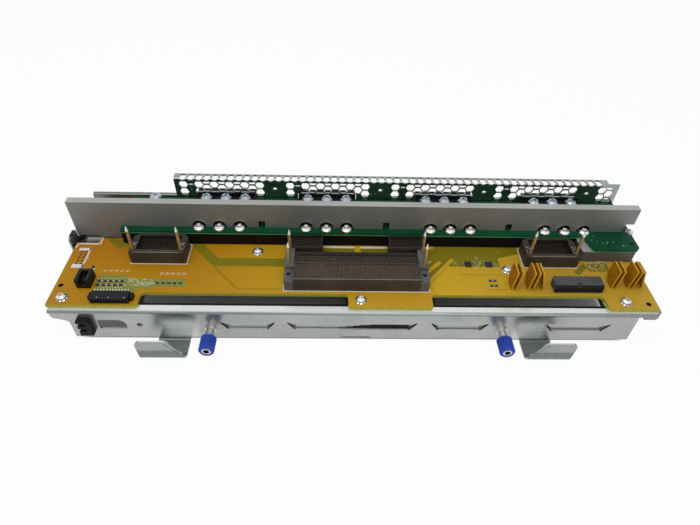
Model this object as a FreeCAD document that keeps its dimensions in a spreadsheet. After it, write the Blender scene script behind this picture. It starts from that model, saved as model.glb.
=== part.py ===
import FreeCAD, Part
import math
import os
import Sketcher

doc = FreeCAD.newDocument("power_backplane")

# Driving dimensions in millimetres, angles in degrees.
# Heights count from the top of the power board and depths from its front edge, unless the name says otherwise.
SIZES = {
    # power board: outline with three front tabs, and the notch in its back left corner
    "board_top": 33.0,
    "board_width": 432.0,
    "board_depth": 105.5,
    "board_thickness": 2.8,
    "recess_depth": 12.2,
    "recess_round": 2.4,
    "left_tab_width": 62.0,
    "centre_tab_start": -7.0,
    "centre_tab_width": 60.0,
    "right_tab_width": 37.7,
    "right_tab_slant": 1.6,
    "notch_width": 17.6,
    "notch_front": 64.2,
    "notch_chamfer": 2.8,
    "tooling_hole": 3.6,
    "left_tooling_inset": 4.2,
    "left_tooling_depth": 18.5,
    "right_tooling_inset": 6.5,
    "right_tooling_depth": 4.9,
    "tooling_relief": 1.2,
    # screws that hold the power board, and their toothed washers
    "screw_thread": 4.0,
    "screw_head": 6.4,
    "screw_head_height": 2.5,
    "screw_crown": 1.1,
    "drive_recess": 1.4,
    "drive_width": 3.0,
    "washer_width": 8.2,
    "washer_height": 0.9,
    "clearance_hole": 4.4,
    "tapped_hole": 4.1,
    "board_screw_reach": 7.0,
    "corner_screw_inset": 9.4,
    "corner_screw_depth": 6.2,
    "right_screw_inset": 22.8,
    "centre_screw_x": 1.9,
    "left_inner_screw_x": -76.0,
    "left_inner_screw_depth": 55.7,
    "right_inner_screw_inset": 102.1,
    "right_inner_screw_depth": 38.2,
    # carrier tray: folded sheet with a front flange, a rear flange and an ear
    "sheet_gauge": 1.2,
    "bend_inside": 1.2,
    "tray_inset": 1.0,
    "flange_proud": 3.5,
    "flange_height": 27.2,
    "flange_left_inset": 1.0,
    "flange_low_inset": 12.5,
    "flange_right_inset": 13.5,
    "flange_step": 9.6,
    "flange_step_slope": 3.4,
    "bottom_notch_x": -1.2,
    "bottom_notch_width": 23.2,
    "bottom_notch_height": 1.8,
    "slot_front": 5.0,
    "slot_rear": 14.5,
    "cable_hole_inset": 41.8,
    "cable_hole_width": 19.4,
    "cable_hole_top": 11.6,
    "cable_hole_height": 9.6,
    "cable_hole_round": 1.8,
    "cable_hole_big_round": 6.0,
    "flange_hole_inset": 60.6,
    "flange_hole_drop": 16.7,
    "flange_hole": 4.2,
    "tab_top": 13.2,
    "tab_height": 7.4,
    "tab_taper": 5.6,
    "tab_gap": 0.4,
    "tab_set": 1.5,
    "tab_1_left": -98.0,
    "tab_1_width": 39.0,
    "tab_2_left": -50.4,
    "tab_2_width": 93.2,
    "tab_3_left": 52.9,
    "tab_3_width": 41.5,
    "tab_4_inset": 17.9,
    "tab_4_width": 47.8,
    "side_proud": 3.0,
    "ear_front": 59.0,
    "ear_length": 13.0,
    "ear_height": 12.4,
    "ear_round": 4.0,
    "block_width": 9.6,
    "block_length": 15.0,
    "block_height": 8.2,
    "block_front": 0.6,
    "block_chamfer": 1.4,
    # J handles folded forward from the front flange
    "handle_inner": 121.0,
    "tongue_width": 23.0,
    "pad_width": 30.8,
    "handle_reach": 19.5,
    "handle_bend": 6.5,
    "root_bend": 1.6,
    "pad_lean": 2.6,
    "pad_height": 25.4,
    "pad_slope": 8.5,
    "pad_round": 6.0,
    # rear rail and honeycomb screen
    "rail_top": 13.0,
    "rail_drop": 20.0,
    "rail_lip": 3.2,
    "screen_face": 108.4,
    "screen_left": 146.5,
    "screen_proud": 1.0,
    "screen_top": 30.5,
    "screen_bottom": 0.8,
    "screen_flange": 7.0,
    "screen_corner": 9.0,
    "cell_width": 6.25,
    "cell_web": 0.83,
    "cell_margin": 7.1,
    "cell_first_height": 24.7,
    "cell_roof": 27.4,
    "cell_floor": 11.4,
    "lip_cell_pitch": 6.4,
    "lip_cell_length": 5.7,
    "lip_cell_depth": 6.2,
    "lip_cell_setback": 2.7,
    "rivet_shank": 2.4,
    "rivet_head": 4.2,
    "rivet_head_height": 1.0,
    "rivet_fit": 0.1,
    "screen_rivet_height": 20.6,
    "field_columns": 14,
    "field_start": 2,
    "field_end": 10,
    "rivet_column": 12,
    "dash_length": 3.4,
    "dash_height": 1.2,
    "low_rivet_height": 2.6,
    "rail_rivet_drop": 12.0,
    "left_rivet_inset": 8.5,
    "rail_rivet_inset": 25.0,
    # spacer frame between the boards, and the insulator along its front
    "spacer_height": 10.1,
    "spacer_left_inset": 36.0,
    "spacer_right_inset": 1.0,
    "spacer_front": 64.8,
    "spacer_rear": 106.0,
    "spacer_wing_width": 42.4,
    "spacer_wing_front": 49.0,
    "spacer_round": 2.0,
    "insulator_thickness": 0.6,
    # midplane board with its right wing
    "midplane_thickness": 2.4,
    "midplane_front": 64.5,
    "midplane_rear": 107.6,
    "midplane_left_overhang": 0.5,
    "midplane_right_overhang": 1.8,
    "wing_width": 40.0,
    "wing_slope": 4.0,
    "wing_front": 48.8,
    "wing_chamfer": 2.8,
    "wing_hole": 3.0,
    "wing_hole_inset": 4.4,
    "wing_hole_depth": 56.1,
    "standoff_inset": 4.0,
    "standoff_depth": 65.8,
    "standoff_flats": 6.2,
    "standoff_height": 4.6,
    # screws through the midplane, four trios in two rows
    "trio_1": -105.7,
    "trio_2": -23.6,
    "trio_3": 73.0,
    "trio_4_inset": 53.0,
    "trio_pitch": 15.6,
    "front_row": 68.9,
    "rear_row": 103.0,
    "dome_head": 8.8,
    "dome_height": 3.6,
    "dome_washer": 1.1,
    "dome_groove": 0.6,
    "dome_crown": 1.6,
    "dome_recess": 1.5,
    "midplane_screw_reach": 9.0,
    "left_screw_inset": 18.0,
    # stiffener bar on edge
    "bar_face": 70.2,
    "bar_thickness": 6.0,
    "bar_top": 34.5,
    "bar_left_proud": 0.5,
    "bar_right_proud": 1.0,
    "bar_step_inset": 6.2,
    "bar_step_height": 20.2,
    "bar_foot_clearance": 0.5,
    "bar_foot_notch": 16.4,
    "bar_foot_notch_height": 2.6,
    "arch_width": 10.4,
    "arch_rise": 0.8,
    "arch_depth": 4.2,
    "bar_notch_width": 5.0,
    "bar_notch_height": 6.3,
    "bar_notch_1": -73.2,
    "bar_notch_2": 22.7,
    "bar_notch_3": 118.7,
    # left and right power connectors
    "side_connector_inset": 67.7,
    "side_connector_length": 40.4,
    "side_connector_depth": 21.0,
    "side_connector_front": 42.0,
    "side_connector_height": 11.0,
    "side_connector_chamfer": 3.0,
    "well_front_wall": 3.4,
    "well_rear_wall": 1.6,
    "well_end_wall": 4.6,
    "well_depth": 4.0,
    "blade_slot": 1.1,
    "blade_slot_margin": 1.4,
    "blade_slot_depth": 4.5,
    "blade_pitch": 2.3,
    "pin_width": 2.4,
    "pin_shank": 1.4,
    "pin_fit": 0.1,
    "pin_seat": 6.0,
    "pin_top": 32.5,
    "pin_point": 3.6,
    "pin_tip": 0.6,
    "side_pin_span": 35.0,
    "side_pin_setback": 3.5,
    "housing_screw": 3.6,
    "housing_screw_height": 1.2,
    "housing_screw_span": 35.6,
    "housing_screw_setback": 11.5,
    # centre connector with its end blocks
    "centre_connector_x": -0.8,
    "centre_connector_length": 104.8,
    "centre_connector_front": 15.4,
    "centre_connector_depth": 28.6,
    "centre_connector_height": 11.8,
    "end_block_length": 6.6,
    "end_block_depth": 32.0,
    "end_block_seat": 2.4,
    "end_block_round": 1.2,
    "centre_pin_first": 15.1,
    "centre_pin_pitch": 13.6,
    "contact_slot": 0.9,
    "contact_pitch": 1.96,
    "contact_margin": 1.2,
    "contact_front_land": 1.8,
    "contact_front_row": 14.4,
    "contact_land": 1.2,
    "contact_rear_row": 8.6,
    "contact_depth": 3.6,
    # mezzanine connectors behind the centre connector
    "mezzanine_x": 38.2,
    "mezzanine_length": 26.0,
    "mezzanine_front": 49.2,
    "mezzanine_depth": 14.2,
    "mezzanine_height": 11.6,
    "mezzanine_wall": 1.3,
    "mezzanine_well": 1.6,
    "mezzanine_row": 1.0,
    "mezzanine_row_pitch": 2.1,
    "mezzanine_row_depth": 2.4,
    # signal header at the left front tab
    "signal_header_inset": 43.5,
    "signal_header_length": 30.6,
    "signal_header_front": 1.6,
    "signal_header_depth": 7.6,
    "signal_header_height": 5.0,
    "signal_header_tab": 2.2,
    "signal_header_tab_height": 3.4,
    "signal_slot": 1.1,
    "signal_pitch": 2.1,
    "signal_slot_height": 3.0,
    "signal_slot_depth": 2.6,
    "lead_width": 0.6,
    "lead_height": 0.5,
    "lead_reach": 1.8,
    # fan header
    "fan_header_inset": 21.2,
    "fan_header_width": 9.6,
    "fan_header_front": 15.8,
    "fan_header_depth": 12.0,
    "fan_header_height": 8.0,
    "fan_header_wall": 2.2,
    "fan_header_well": 5.6,
    "fan_header_gap": 4.2,
    "fan_pin_width": 0.7,
    "fan_pin_pitch": 2.2,
    "fan_pin_height": 6.4,
    # edge connector at the right
    "edge_connector_inset": 54.7,
    "edge_connector_length": 35.6,
    "edge_connector_front": 15.6,
    "edge_connector_depth": 10.6,
    "edge_connector_height": 6.8,
    "edge_connector_bevel": 2.2,
    "edge_slot_height": 1.7,
    "edge_slot_depth": 5.4,
    "edge_slot_wall": 1.4,
    "edge_pitch": 3.1,
    "edge_scallop": 1.5,
    "edge_key": 1.6,
    # thin upright fuses
    "fuse_width": 12.0,
    "fuse_height": 16.2,
    "fuse_thickness": 1.1,
    "fuse_cut": 4.2,
    "fuse_round": 0.9,
    "fuse_lift": 1.2,
    "fuse_lead": 0.8,
    "fuse_lead_inset": 1.8,
    "fuse_lead_spacing": 5.1,
    "fuse_lean": 5.0,
    "fuse_back_lean": -13.0,
    "fuse_left_front": 17.4,
    "fuse_right_front": 20.0,
    "fuse_1_inset": 103.6,
    "fuse_2_inset": 100.2,
    "fuse_3_inset": 91.2,
    "fuse_4_inset": 87.8,
    "fuse_5_inset": 80.2,
    "fuse_6_inset": 28.6,
    "fuse_7_inset": 25.2,
    "fuse_8_inset": 16.0,
    "fuse_9_inset": 12.6,
    "fuse_10_inset": 5.8,
    # chips
    "controller_width": 5.0,
    "controller_height": 1.5,
    "controller_round": 0.4,
    "controller_1_inset": 131.0,
    "controller_2_inset": 115.0,
    "controller_depth": 43.8,
    "chip_length": 2.6,
    "chip_width": 1.7,
    "chip_height": 0.6,
    "resistor_first_inset": 29.8,
    "resistor_pitch": 4.1,
    "resistor_row_1": 19.2,
    "resistor_row_2": 23.2,
    "resistor_third_inset": 71.4,
    "resistor_third_row": 21.3,
    "capacitor_inset": 117.2,
    "capacitor_pitch": 3.4,
    "capacitor_row_1": 21.7,
    "capacitor_row_2": 26.8,
    "small_chip_inset": 20.9,
    "small_chip_depth": 37.4,
    # supply connectors that straddle the midplane's rear edge
    "supply_length": 46.8,
    "supply_above": 4.2,
    "supply_below": 4.5,
    "supply_front": 106.3,
    "supply_neck": 1.4,
    "supply_foot": 2.2,
    "supply_foot_reach": 8.0,
    "supply_gap": 0.5,
    "supply_slot": 2.2,
    "supply_slot_depth": 6.0,
    "supply_wall": 2.2,
    "supply_bevel": 0.8,
    # cable clip on the front flange
    "clip_inset": 23.6,
    "clip_width": 9.0,
    "clip_height": 15.0,
    "clip_drop": 8.8,
    "clip_reach": 4.4,
    "clip_wall": 1.6,
    "clip_mouth": 3.0,
    "clip_prong": 2.4,
    "clip_round": 3.0,
    "clip_peg": 3.0,
    # captive thumbscrews
    "thumb_x": 105.0,
    "thumb_drop": 20.5,
    "thumb_travel": 4.0,
    "ferrule_width": 6.0,
    "ferrule_reach": 8.4,
    "ferrule_bore": 4.6,
    "ferrule_lip_bore": 3.5,
    "ferrule_lip": 1.0,
    "ferrule_collar": 8.4,
    "ferrule_collar_height": 0.9,
    "ferrule_stake": 7.0,
    "ferrule_stake_height": 0.7,
    "knob_width": 11.0,
    "knob_length": 12.2,
    "knob_edge": 1.1,
    "knob_fit": 0.35,
    "knob_bore_depth": 5.2,
    "flute_count": 18,
    "flute_width": 0.9,
    "neck_width": 3.0,
    "thread_width": 4.0,
    "thread_length": 6.0,
    "thread_point": 0.8,
    "thumb_head": 6.6,
    "thumb_head_height": 3.2,
    "thumb_head_sink": 0.3,
    "thumb_socket": 4.2,
    "thumb_socket_depth": 2.0,
    "ring_width": 6.0,
    "ring_height": 0.6,
    "ring_fit": 0.06,
    "ring_gap": 0.3,
    "spring_wire": 0.45,
    "spring_turns": 6,
}

sheet = doc.addObject("Spreadsheet::Sheet", "Sizes")
for row, (name, number) in enumerate(SIZES.items(), start=1):
    sheet.set(f"A{row}", name)
    sheet.set(f"B{row}", str(number))
    sheet.setAlias(f"B{row}", name)
doc.recompute()


class Size:
    """A size from the sheet, or a sum of such sizes: its number now and the expression that keeps it tied."""

    def __init__(self, value, text):
        self.value = value
        self.text = text

    def __add__(self, other):
        other = as_size(other)
        return Size(self.value + other.value, f"({self.text} + {other.text})")

    def __sub__(self, other):
        other = as_size(other)
        return Size(self.value - other.value, f"({self.text} - {other.text})")

    def __mul__(self, other):
        other = as_size(other)
        return Size(self.value * other.value, f"({self.text} * {other.text})")

    def __truediv__(self, other):
        other = as_size(other)
        return Size(self.value / other.value, f"({self.text} / {other.text})")

    def __neg__(self):
        return Size(-self.value, f"(-{self.text})")

    def __radd__(self, other):
        return as_size(other) + self

    def __rsub__(self, other):
        return as_size(other) - self

    def __rmul__(self, other):
        return as_size(other) * self


def as_size(number):
    return number if isinstance(number, Size) else Size(float(number), f"({float(number)!r})")


class SheetSizes:
    """The sheet's sizes by name."""

    def __getattr__(self, alias):
        return Size(float(sheet.get(alias)), "Sizes." + alias)


s = SheetSizes()
ZERO = as_size(0)

# Levels and places that several pieces share
half_board = s.board_width / 2
tray_width = s.board_width - 2 * s.tray_inset
half_tray = tray_width / 2
flange_left = half_tray - s.flange_left_inset
flange_left_low = half_tray - s.flange_low_inset
flange_right = half_tray - s.flange_right_inset
cable_hole_x = s.cable_hole_inset - half_tray
flange_hole_x = s.flange_hole_inset - half_tray
clip_x = s.clip_inset - half_tray
tab_4_left = flange_right - s.tab_4_inset - s.tab_4_width
rail_rivet_x = half_tray - s.rail_rivet_inset
screen_right = half_board + s.screen_proud
screen_flange_right = screen_right - s.screen_corner
cell_column = (s.cell_width + s.cell_web) * (math.sqrt(3) / 2)
first_cell_x = s.cell_margin - s.screen_left
spacer_left = half_board - s.spacer_left_inset
spacer_right = half_board - s.spacer_right_inset
spacer_wing_left = spacer_right - s.spacer_wing_width
midplane_left = spacer_left + s.midplane_left_overhang
midplane_right = spacer_right + s.midplane_right_overhang
wing_left = midplane_right - s.wing_width
trio_4 = half_board - s.trio_4_inset
left_screw_x = s.left_screw_inset - spacer_left
bar_left = half_board + s.bar_left_proud
bar_right = half_board + s.bar_right_proud
bar_step_right = bar_right - s.bar_step_inset
side_connector_x = half_board - s.side_connector_inset
signal_header_x = s.signal_header_inset - half_board
fan_header_x = s.fan_header_inset - half_board
edge_connector_x = half_board - s.edge_connector_inset
controller_1_x = half_board - s.controller_1_inset
controller_2_x = half_board - s.controller_2_inset
resistor_first_x = s.resistor_first_inset - half_board
resistor_third_x = s.resistor_third_inset - half_board
capacitor_x = half_board - s.capacitor_inset
small_chip_x = s.small_chip_inset - half_board
right_inner_screw_x = half_board - s.right_inner_screw_inset
front_reach = s.flange_proud + s.handle_reach + s.pad_lean
rear_reach = s.screen_face + s.screen_flange
front_y = (front_reach - rear_reach) / 2
side_reach = half_board + s.side_proud
tray_top = -s.board_thickness
tray_under = tray_top - s.sheet_gauge
flange_bottom = tray_top - s.flange_height
floor = -s.board_top
flange_inner = s.sheet_gauge - s.flange_proud
screen_back = s.screen_face + s.sheet_gauge
rail_back = screen_back + s.sheet_gauge
midplane_under = s.spacer_height
midplane_top = s.spacer_height + s.midplane_thickness
trios = [s.trio_1, s.trio_2, s.trio_3, trio_4]
trio_places = [centre + step * s.trio_pitch for centre in trios for step in (-1, 0, 1)]
board_screws = [
    (s.corner_screw_inset - half_board, s.corner_screw_depth),
    (s.left_inner_screw_x, s.left_inner_screw_depth),
    (s.centre_screw_x, s.corner_screw_depth),
    (right_inner_screw_x, s.right_inner_screw_depth),
    (half_board - s.right_screw_inset, s.corner_screw_depth),
]
tooling_holes = [
    (s.left_tooling_inset - half_board, s.left_tooling_depth),
    (half_board - s.right_tooling_inset, s.right_tooling_depth),
]
upper_rivets = [first_cell_x + cell_column * (s.rivet_column + field * s.field_columns) for field in range(4)]
left_recess = s.left_tab_width - half_board
centre_tab_end = s.centre_tab_start + s.centre_tab_width
right_recess = half_board - s.right_tab_width

pieces = []
SAME_PLACE = 0.01


def bind(feature, prop, size):
    feature.setExpression(prop, as_size(size).text)


def place(piece, x, y, z):
    """Seat a piece: x across, y from the power board's front edge, z from its top."""
    bind(piece, ".Placement.Base.x", x)
    bind(piece, ".Placement.Base.y", front_y + y)
    bind(piece, ".Placement.Base.z", s.board_top + z)


def node(piece, label):
    """Name a finished piece, so that it is written out."""
    piece.Label = label
    pieces.append(piece)
    return piece


def new_body(name, x=ZERO, y=ZERO, z=ZERO):
    body = doc.addObject("PartDesign::Body", name + "_body")
    place(body, x, y, z)
    return body


def sketch_on(body, role, offset=ZERO):
    """A sketch on one of the body's own planes, moved along its normal."""
    sketch = body.newObject("Sketcher::SketchObject", body.Name + "_sketch")
    plane = next(feature for feature in body.Origin.OriginFeatures if feature.Role == role)
    sketch.AttachmentSupport = [(plane, "")]
    sketch.MapMode = "FlatFace"
    bind(sketch, ".AttachmentOffset.Base.z", offset)
    return sketch


def outline(sketch, corners):
    """A closed straight-sided outline whose corners are tied to the sheet."""
    corners = [(as_size(x), as_size(y)) for x, y in corners]
    points = [FreeCAD.Vector(x.value, y.value, 0) for x, y in corners]
    first = sketch.GeometryCount
    count = len(points)
    sketch.addGeometry([Part.LineSegment(points[i], points[(i + 1) % count]) for i in range(count)], False)
    rules = [Sketcher.Constraint("Coincident", first + i, 2, first + (i + 1) % count, 1) for i in range(count)]
    for i, point in enumerate(points):
        rules.append(Sketcher.Constraint("DistanceX", -1, 1, first + i, 1, point.x))
        rules.append(Sketcher.Constraint("DistanceY", -1, 1, first + i, 1, point.y))
    start = sketch.ConstraintCount
    sketch.addConstraint(rules)
    for i, (x, y) in enumerate(corners):
        bind(sketch, f"Constraints[{start + count + 2 * i}]", x)
        bind(sketch, f"Constraints[{start + count + 2 * i + 1}]", y)


def rectangle(sketch, x0, y0, x1, y1):
    outline(sketch, [(x0, y0), (x1, y0), (x1, y1), (x0, y1)])


def circle(sketch, x, y, width):
    x, y, width = as_size(x), as_size(y), as_size(width)
    centre = FreeCAD.Vector(x.value, y.value, 0)
    index = sketch.addGeometry(Part.Circle(centre, FreeCAD.Vector(0, 0, 1), width.value / 2), False)
    start = sketch.ConstraintCount
    sketch.addConstraint([
        Sketcher.Constraint("DistanceX", -1, 1, index, 3, x.value),
        Sketcher.Constraint("DistanceY", -1, 1, index, 3, y.value),
        Sketcher.Constraint("Diameter", index, width.value),
    ])
    for step, size in enumerate((x, y, width)):
        bind(sketch, f"Constraints[{start + step}]", size)


def pad(body, sketch, length, reverse=False, both_ways=False):
    feature = body.newObject("PartDesign::Pad", body.Name + "_pad")
    feature.Profile = sketch
    feature.Reversed = reverse
    feature.SideType = "Symmetric" if both_ways else "One side"
    bind(feature, "Length", length)
    doc.recompute()
    return feature


def pocket(body, sketch, length, reverse=False):
    """Cut a sketch into the body, and make sure that it cut something."""
    doc.recompute()
    before = body.Tip.Shape.Volume
    feature = body.newObject("PartDesign::Pocket", body.Name + "_pocket")
    feature.Profile = sketch
    feature.Reversed = reverse
    bind(feature, "Length", length)
    doc.recompute()
    if feature.Shape.Volume > before - SAME_PLACE:
        raise RuntimeError(f"a pocket of {body.Name} cuts nothing")
    return feature


def repeat(body, feature, sketch, count, pitch, axis="H_Axis"):
    """Copy a feature along a sketch axis."""
    row = body.newObject("PartDesign::LinearPattern", body.Name + "_row")
    row.Originals = [feature]
    row.Direction = (sketch, [axis])
    row.Occurrences = count
    bind(row, "Length", pitch * (count - 1))
    body.Tip = row
    doc.recompute()
    return row


def edges_at(shape, axis, spots):
    """Names of the straight edges that run along an axis through the given places."""
    first, second = {"X": (1, 2), "Y": (0, 2), "Z": (0, 1)}[axis]
    names = []
    for index, edge in enumerate(shape.Edges, start=1):
        ends = [vertex.Point for vertex in edge.Vertexes]
        if len(ends) != 2:
            continue
        for one, two in spots:
            gaps = [max(abs(end[first] - one.value), abs(end[second] - two.value)) for end in ends]
            if max(gaps) < SAME_PLACE:
                names.append(f"Edge{index}")
                break
    return names


def dress(body, kind, size, axis, spots):
    """Round or bevel the edges that run along an axis through the given places."""
    doc.recompute()
    base = body.Tip
    names = edges_at(base.Shape, axis, [(as_size(one), as_size(two)) for one, two in spots])
    if not names:
        raise RuntimeError(f"{body.Name} has no edge to dress")
    feature = body.newObject("PartDesign::" + kind, body.Name + "_" + kind.lower())
    feature.Base = (base, names)
    bind(feature, "Radius" if kind == "Fillet" else "Size", size)
    doc.recompute()
    return feature


def turned(name, profile, x, y, z, along_y=False):
    """A body turned about its own axis from (radius, height) pairs, upright or lying along Y."""
    body = new_body(name)
    if along_y:
        body.Placement = FreeCAD.Placement(FreeCAD.Vector(), FreeCAD.Rotation(FreeCAD.Vector(1, 0, 0), -90))
    place(body, x, y, z)
    sketch = sketch_on(body, "XZ_Plane")
    outline(sketch, profile)
    turn = body.newObject("PartDesign::Revolution", name + "_turn")
    turn.Profile = sketch
    turn.ReferenceAxis = (sketch, ["V_Axis"])
    turn.Angle = 360
    doc.recompute()
    return body


def together(label, members):
    """Like pieces that share one node, each a separate solid."""
    group = doc.addObject("Part::Compound", label)
    group.Links = members
    return node(group, label)


# Carrier tray: one galvanised sheet, folded down at the front and the rear
tray = new_body("carrier_tray")
section = sketch_on(tray, "YZ_Plane")
outline(section, [
    (-s.flange_proud, flange_bottom),
    (-s.flange_proud, tray_top),
    (screen_back, tray_top),
    (screen_back, floor),
    (screen_back - s.sheet_gauge, floor),
    (screen_back - s.sheet_gauge, tray_under),
    (flange_inner, tray_under),
    (flange_inner, flange_bottom),
])
pad(tray, section, tray_width, both_ways=True)
dress(tray, "Fillet", s.bend_inside + s.sheet_gauge, "X", [(-s.flange_proud, tray_top), (screen_back, tray_top)])
inner_bends = [(flange_inner, tray_under), (screen_back - s.sheet_gauge, tray_under)]
dress(tray, "Fillet", s.bend_inside, "X", inner_bends)

# Handles: a tongue folded forward under the flange, then a finger pad folded up
for side in (-1, 1):
    inner = side * s.handle_inner
    outer = side * (s.handle_inner + s.pad_width)
    tongue_outer = side * (s.handle_inner + s.tongue_width)
    pad_foot = -s.flange_proud - s.handle_reach
    pad_top = floor + s.pad_height
    # Side view of the bent strip
    strip = sketch_on(tray, "YZ_Plane", inner)
    outline(strip, [
        (-s.flange_proud, flange_bottom + s.sheet_gauge),
        (-s.flange_proud, floor + s.sheet_gauge),
        (pad_foot + s.sheet_gauge, floor + s.sheet_gauge),
        (pad_foot + s.sheet_gauge - s.pad_lean, pad_top),
        (pad_foot - s.pad_lean, pad_top),
        (pad_foot, floor),
        (flange_inner, floor),
        (flange_inner, flange_bottom + s.sheet_gauge),
    ])
    pad(tray, strip, s.pad_width, reverse=side < 0)
    dress(tray, "Fillet", s.root_bend, "X", [(-s.flange_proud, floor + s.sheet_gauge)])
    dress(tray, "Fillet", s.root_bend + s.sheet_gauge, "X", [(flange_inner, floor)])
    dress(tray, "Fillet", s.handle_bend, "X", [(pad_foot + s.sheet_gauge, floor + s.sheet_gauge)])
    dress(tray, "Fillet", s.handle_bend + s.sheet_gauge, "X", [(pad_foot, floor)])
    # Top view: the tongue is narrower than the pad
    relief = sketch_on(tray, "XY_Plane", floor - s.sheet_gauge)
    rectangle(relief, tongue_outer, pad_foot + s.handle_bend + s.sheet_gauge, outer + side * s.sheet_gauge, ZERO)
    pocket(tray, relief, s.sheet_gauge + s.board_top + flange_bottom, reverse=True)
    # Front view: the pad's inboard edge slants and its corners are round
    trim = sketch_on(tray, "XZ_Plane", s.flange_proud + s.root_bend)
    outline(trim, [
        (inner - side * s.sheet_gauge, floor + s.handle_bend),
        (inner, floor + s.handle_bend),
        (inner + side * s.pad_slope, pad_top + s.sheet_gauge),
        (inner - side * s.sheet_gauge, pad_top + s.sheet_gauge),
    ])
    pocket(tray, trim, s.handle_reach + s.pad_lean, reverse=True)

# Front flange: shaped ends, cable hole, lanced tabs and the thumbscrew holes
tabs = [
    (s.tab_1_left, s.tab_1_width),
    (s.tab_2_left, s.tab_2_width),
    (s.tab_3_left, s.tab_3_width),
    (tab_4_left, s.tab_4_width),
]
tab_bottom = -s.tab_top - s.tab_height
face_cut = s.flange_proud + s.sheet_gauge
ends = sketch_on(tray, "XZ_Plane")
outline(ends, [
    (-half_tray - s.sheet_gauge, tray_under - s.bend_inside),
    (-flange_left, tray_under - s.bend_inside),
    (-flange_left, -s.flange_step),
    (-flange_left_low, -s.flange_step - s.flange_step_slope),
    (-flange_left_low, flange_bottom - s.sheet_gauge),
    (-half_tray - s.sheet_gauge, flange_bottom - s.sheet_gauge),
])
rectangle(ends, flange_right, flange_bottom - s.sheet_gauge, half_tray + s.sheet_gauge, tray_under - s.bend_inside)
notch_left = s.bottom_notch_x - s.bottom_notch_width / 2
notch_right = s.bottom_notch_x + s.bottom_notch_width / 2
notch_roof = flange_bottom + s.bottom_notch_height
outline(ends, [
    (notch_left, flange_bottom - s.sheet_gauge),
    (notch_right, flange_bottom - s.sheet_gauge),
    (notch_right, flange_bottom),
    (notch_right - s.bottom_notch_height, notch_roof),
    (notch_left + s.bottom_notch_height, notch_roof),
    (notch_left, flange_bottom),
])
cable_left = cable_hole_x - s.cable_hole_width / 2
cable_right = cable_hole_x + s.cable_hole_width / 2
cable_bottom = -s.cable_hole_top - s.cable_hole_height
rectangle(ends, cable_left, cable_bottom, cable_right, -s.cable_hole_top)
circle(ends, flange_hole_x, -s.flange_hole_drop, s.flange_hole)
for side in (-1, 1):
    circle(ends, side * s.thumb_x, -s.thumb_drop, s.ferrule_width + s.rivet_fit)
circle(ends, clip_x, -s.clip_drop - s.clip_height / 2, s.clip_peg + s.pin_fit)
for left, width in tabs:
    outline(ends, [
        (left, -s.tab_top),
        (left + width, -s.tab_top),
        (left + width - s.tab_taper, tab_bottom),
        (left + s.tab_taper, tab_bottom),
    ])
pocket(tray, ends, face_cut, reverse=True)
dress(tray, "Fillet", s.cable_hole_big_round, "Y", [(cable_right, -s.cable_hole_top)])
small_corners = [(cable_left, -s.cable_hole_top), (cable_left, cable_bottom), (cable_right, cable_bottom)]
dress(tray, "Fillet", s.cable_hole_round, "Y", small_corners)
step_corners = [(-flange_left, -s.flange_step), (-flange_left_low, -s.flange_step - s.flange_step_slope)]
dress(tray, "Fillet", s.flange_step_slope, "Y", step_corners)
slits = sketch_on(tray, "XZ_Plane")
slants = sketch_on(tray, "XZ_Plane", -flange_inner)
for left, width in tabs:
    flap = sketch_on(tray, "YZ_Plane", left + s.tab_gap)
    outline(flap, [
        (-s.flange_proud, -s.tab_top + s.tab_gap),
        (flange_inner, -s.tab_top + s.tab_gap),
        (flange_inner, -s.tab_top),
        (flange_inner + s.tab_set, tab_bottom + s.tab_gap),
        (-s.flange_proud + s.tab_set, tab_bottom + s.tab_gap),
        (-s.flange_proud, -s.tab_top),
    ])
    pad(tray, flap, width - 2 * s.tab_gap)
    for end, side in ((left, 1), (left + width, -1)):
        slit_top = end + side * s.tab_gap
        slit_foot = end + side * (s.tab_taper + s.tab_gap)
        outline(slits, [
            (end, -s.tab_top),
            (slit_top, -s.tab_top),
            (slit_foot, tab_bottom),
            (end + side * s.tab_taper, tab_bottom),
        ])
        outline(slants, [
            (end - side * s.tab_gap, -s.tab_top),
            (slit_top, -s.tab_top),
            (slit_foot, tab_bottom),
            (end - side * s.tab_gap, tab_bottom),
        ])
pocket(tray, slants, s.tab_set + s.sheet_gauge)
pocket(tray, slits, face_cut, reverse=True)

# Top plate: long slots in front of the recessed board edge, screw holes, relief under the tooling holes
top_cut = sketch_on(tray, "XY_Plane", tray_top + s.sheet_gauge)
rectangle(top_cut, left_recess + s.recess_round, s.slot_front, s.centre_tab_start - s.recess_round, s.slot_rear)
rectangle(top_cut, centre_tab_end + s.recess_round, s.slot_front, right_recess - s.recess_round, s.slot_rear)
for x, y in board_screws:
    circle(top_cut, x, y, s.tapped_hole)
for x, y in tooling_holes:
    circle(top_cut, x, y, s.tooling_hole + s.tooling_relief)
pocket(tray, top_cut, 3 * s.sheet_gauge)

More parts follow.
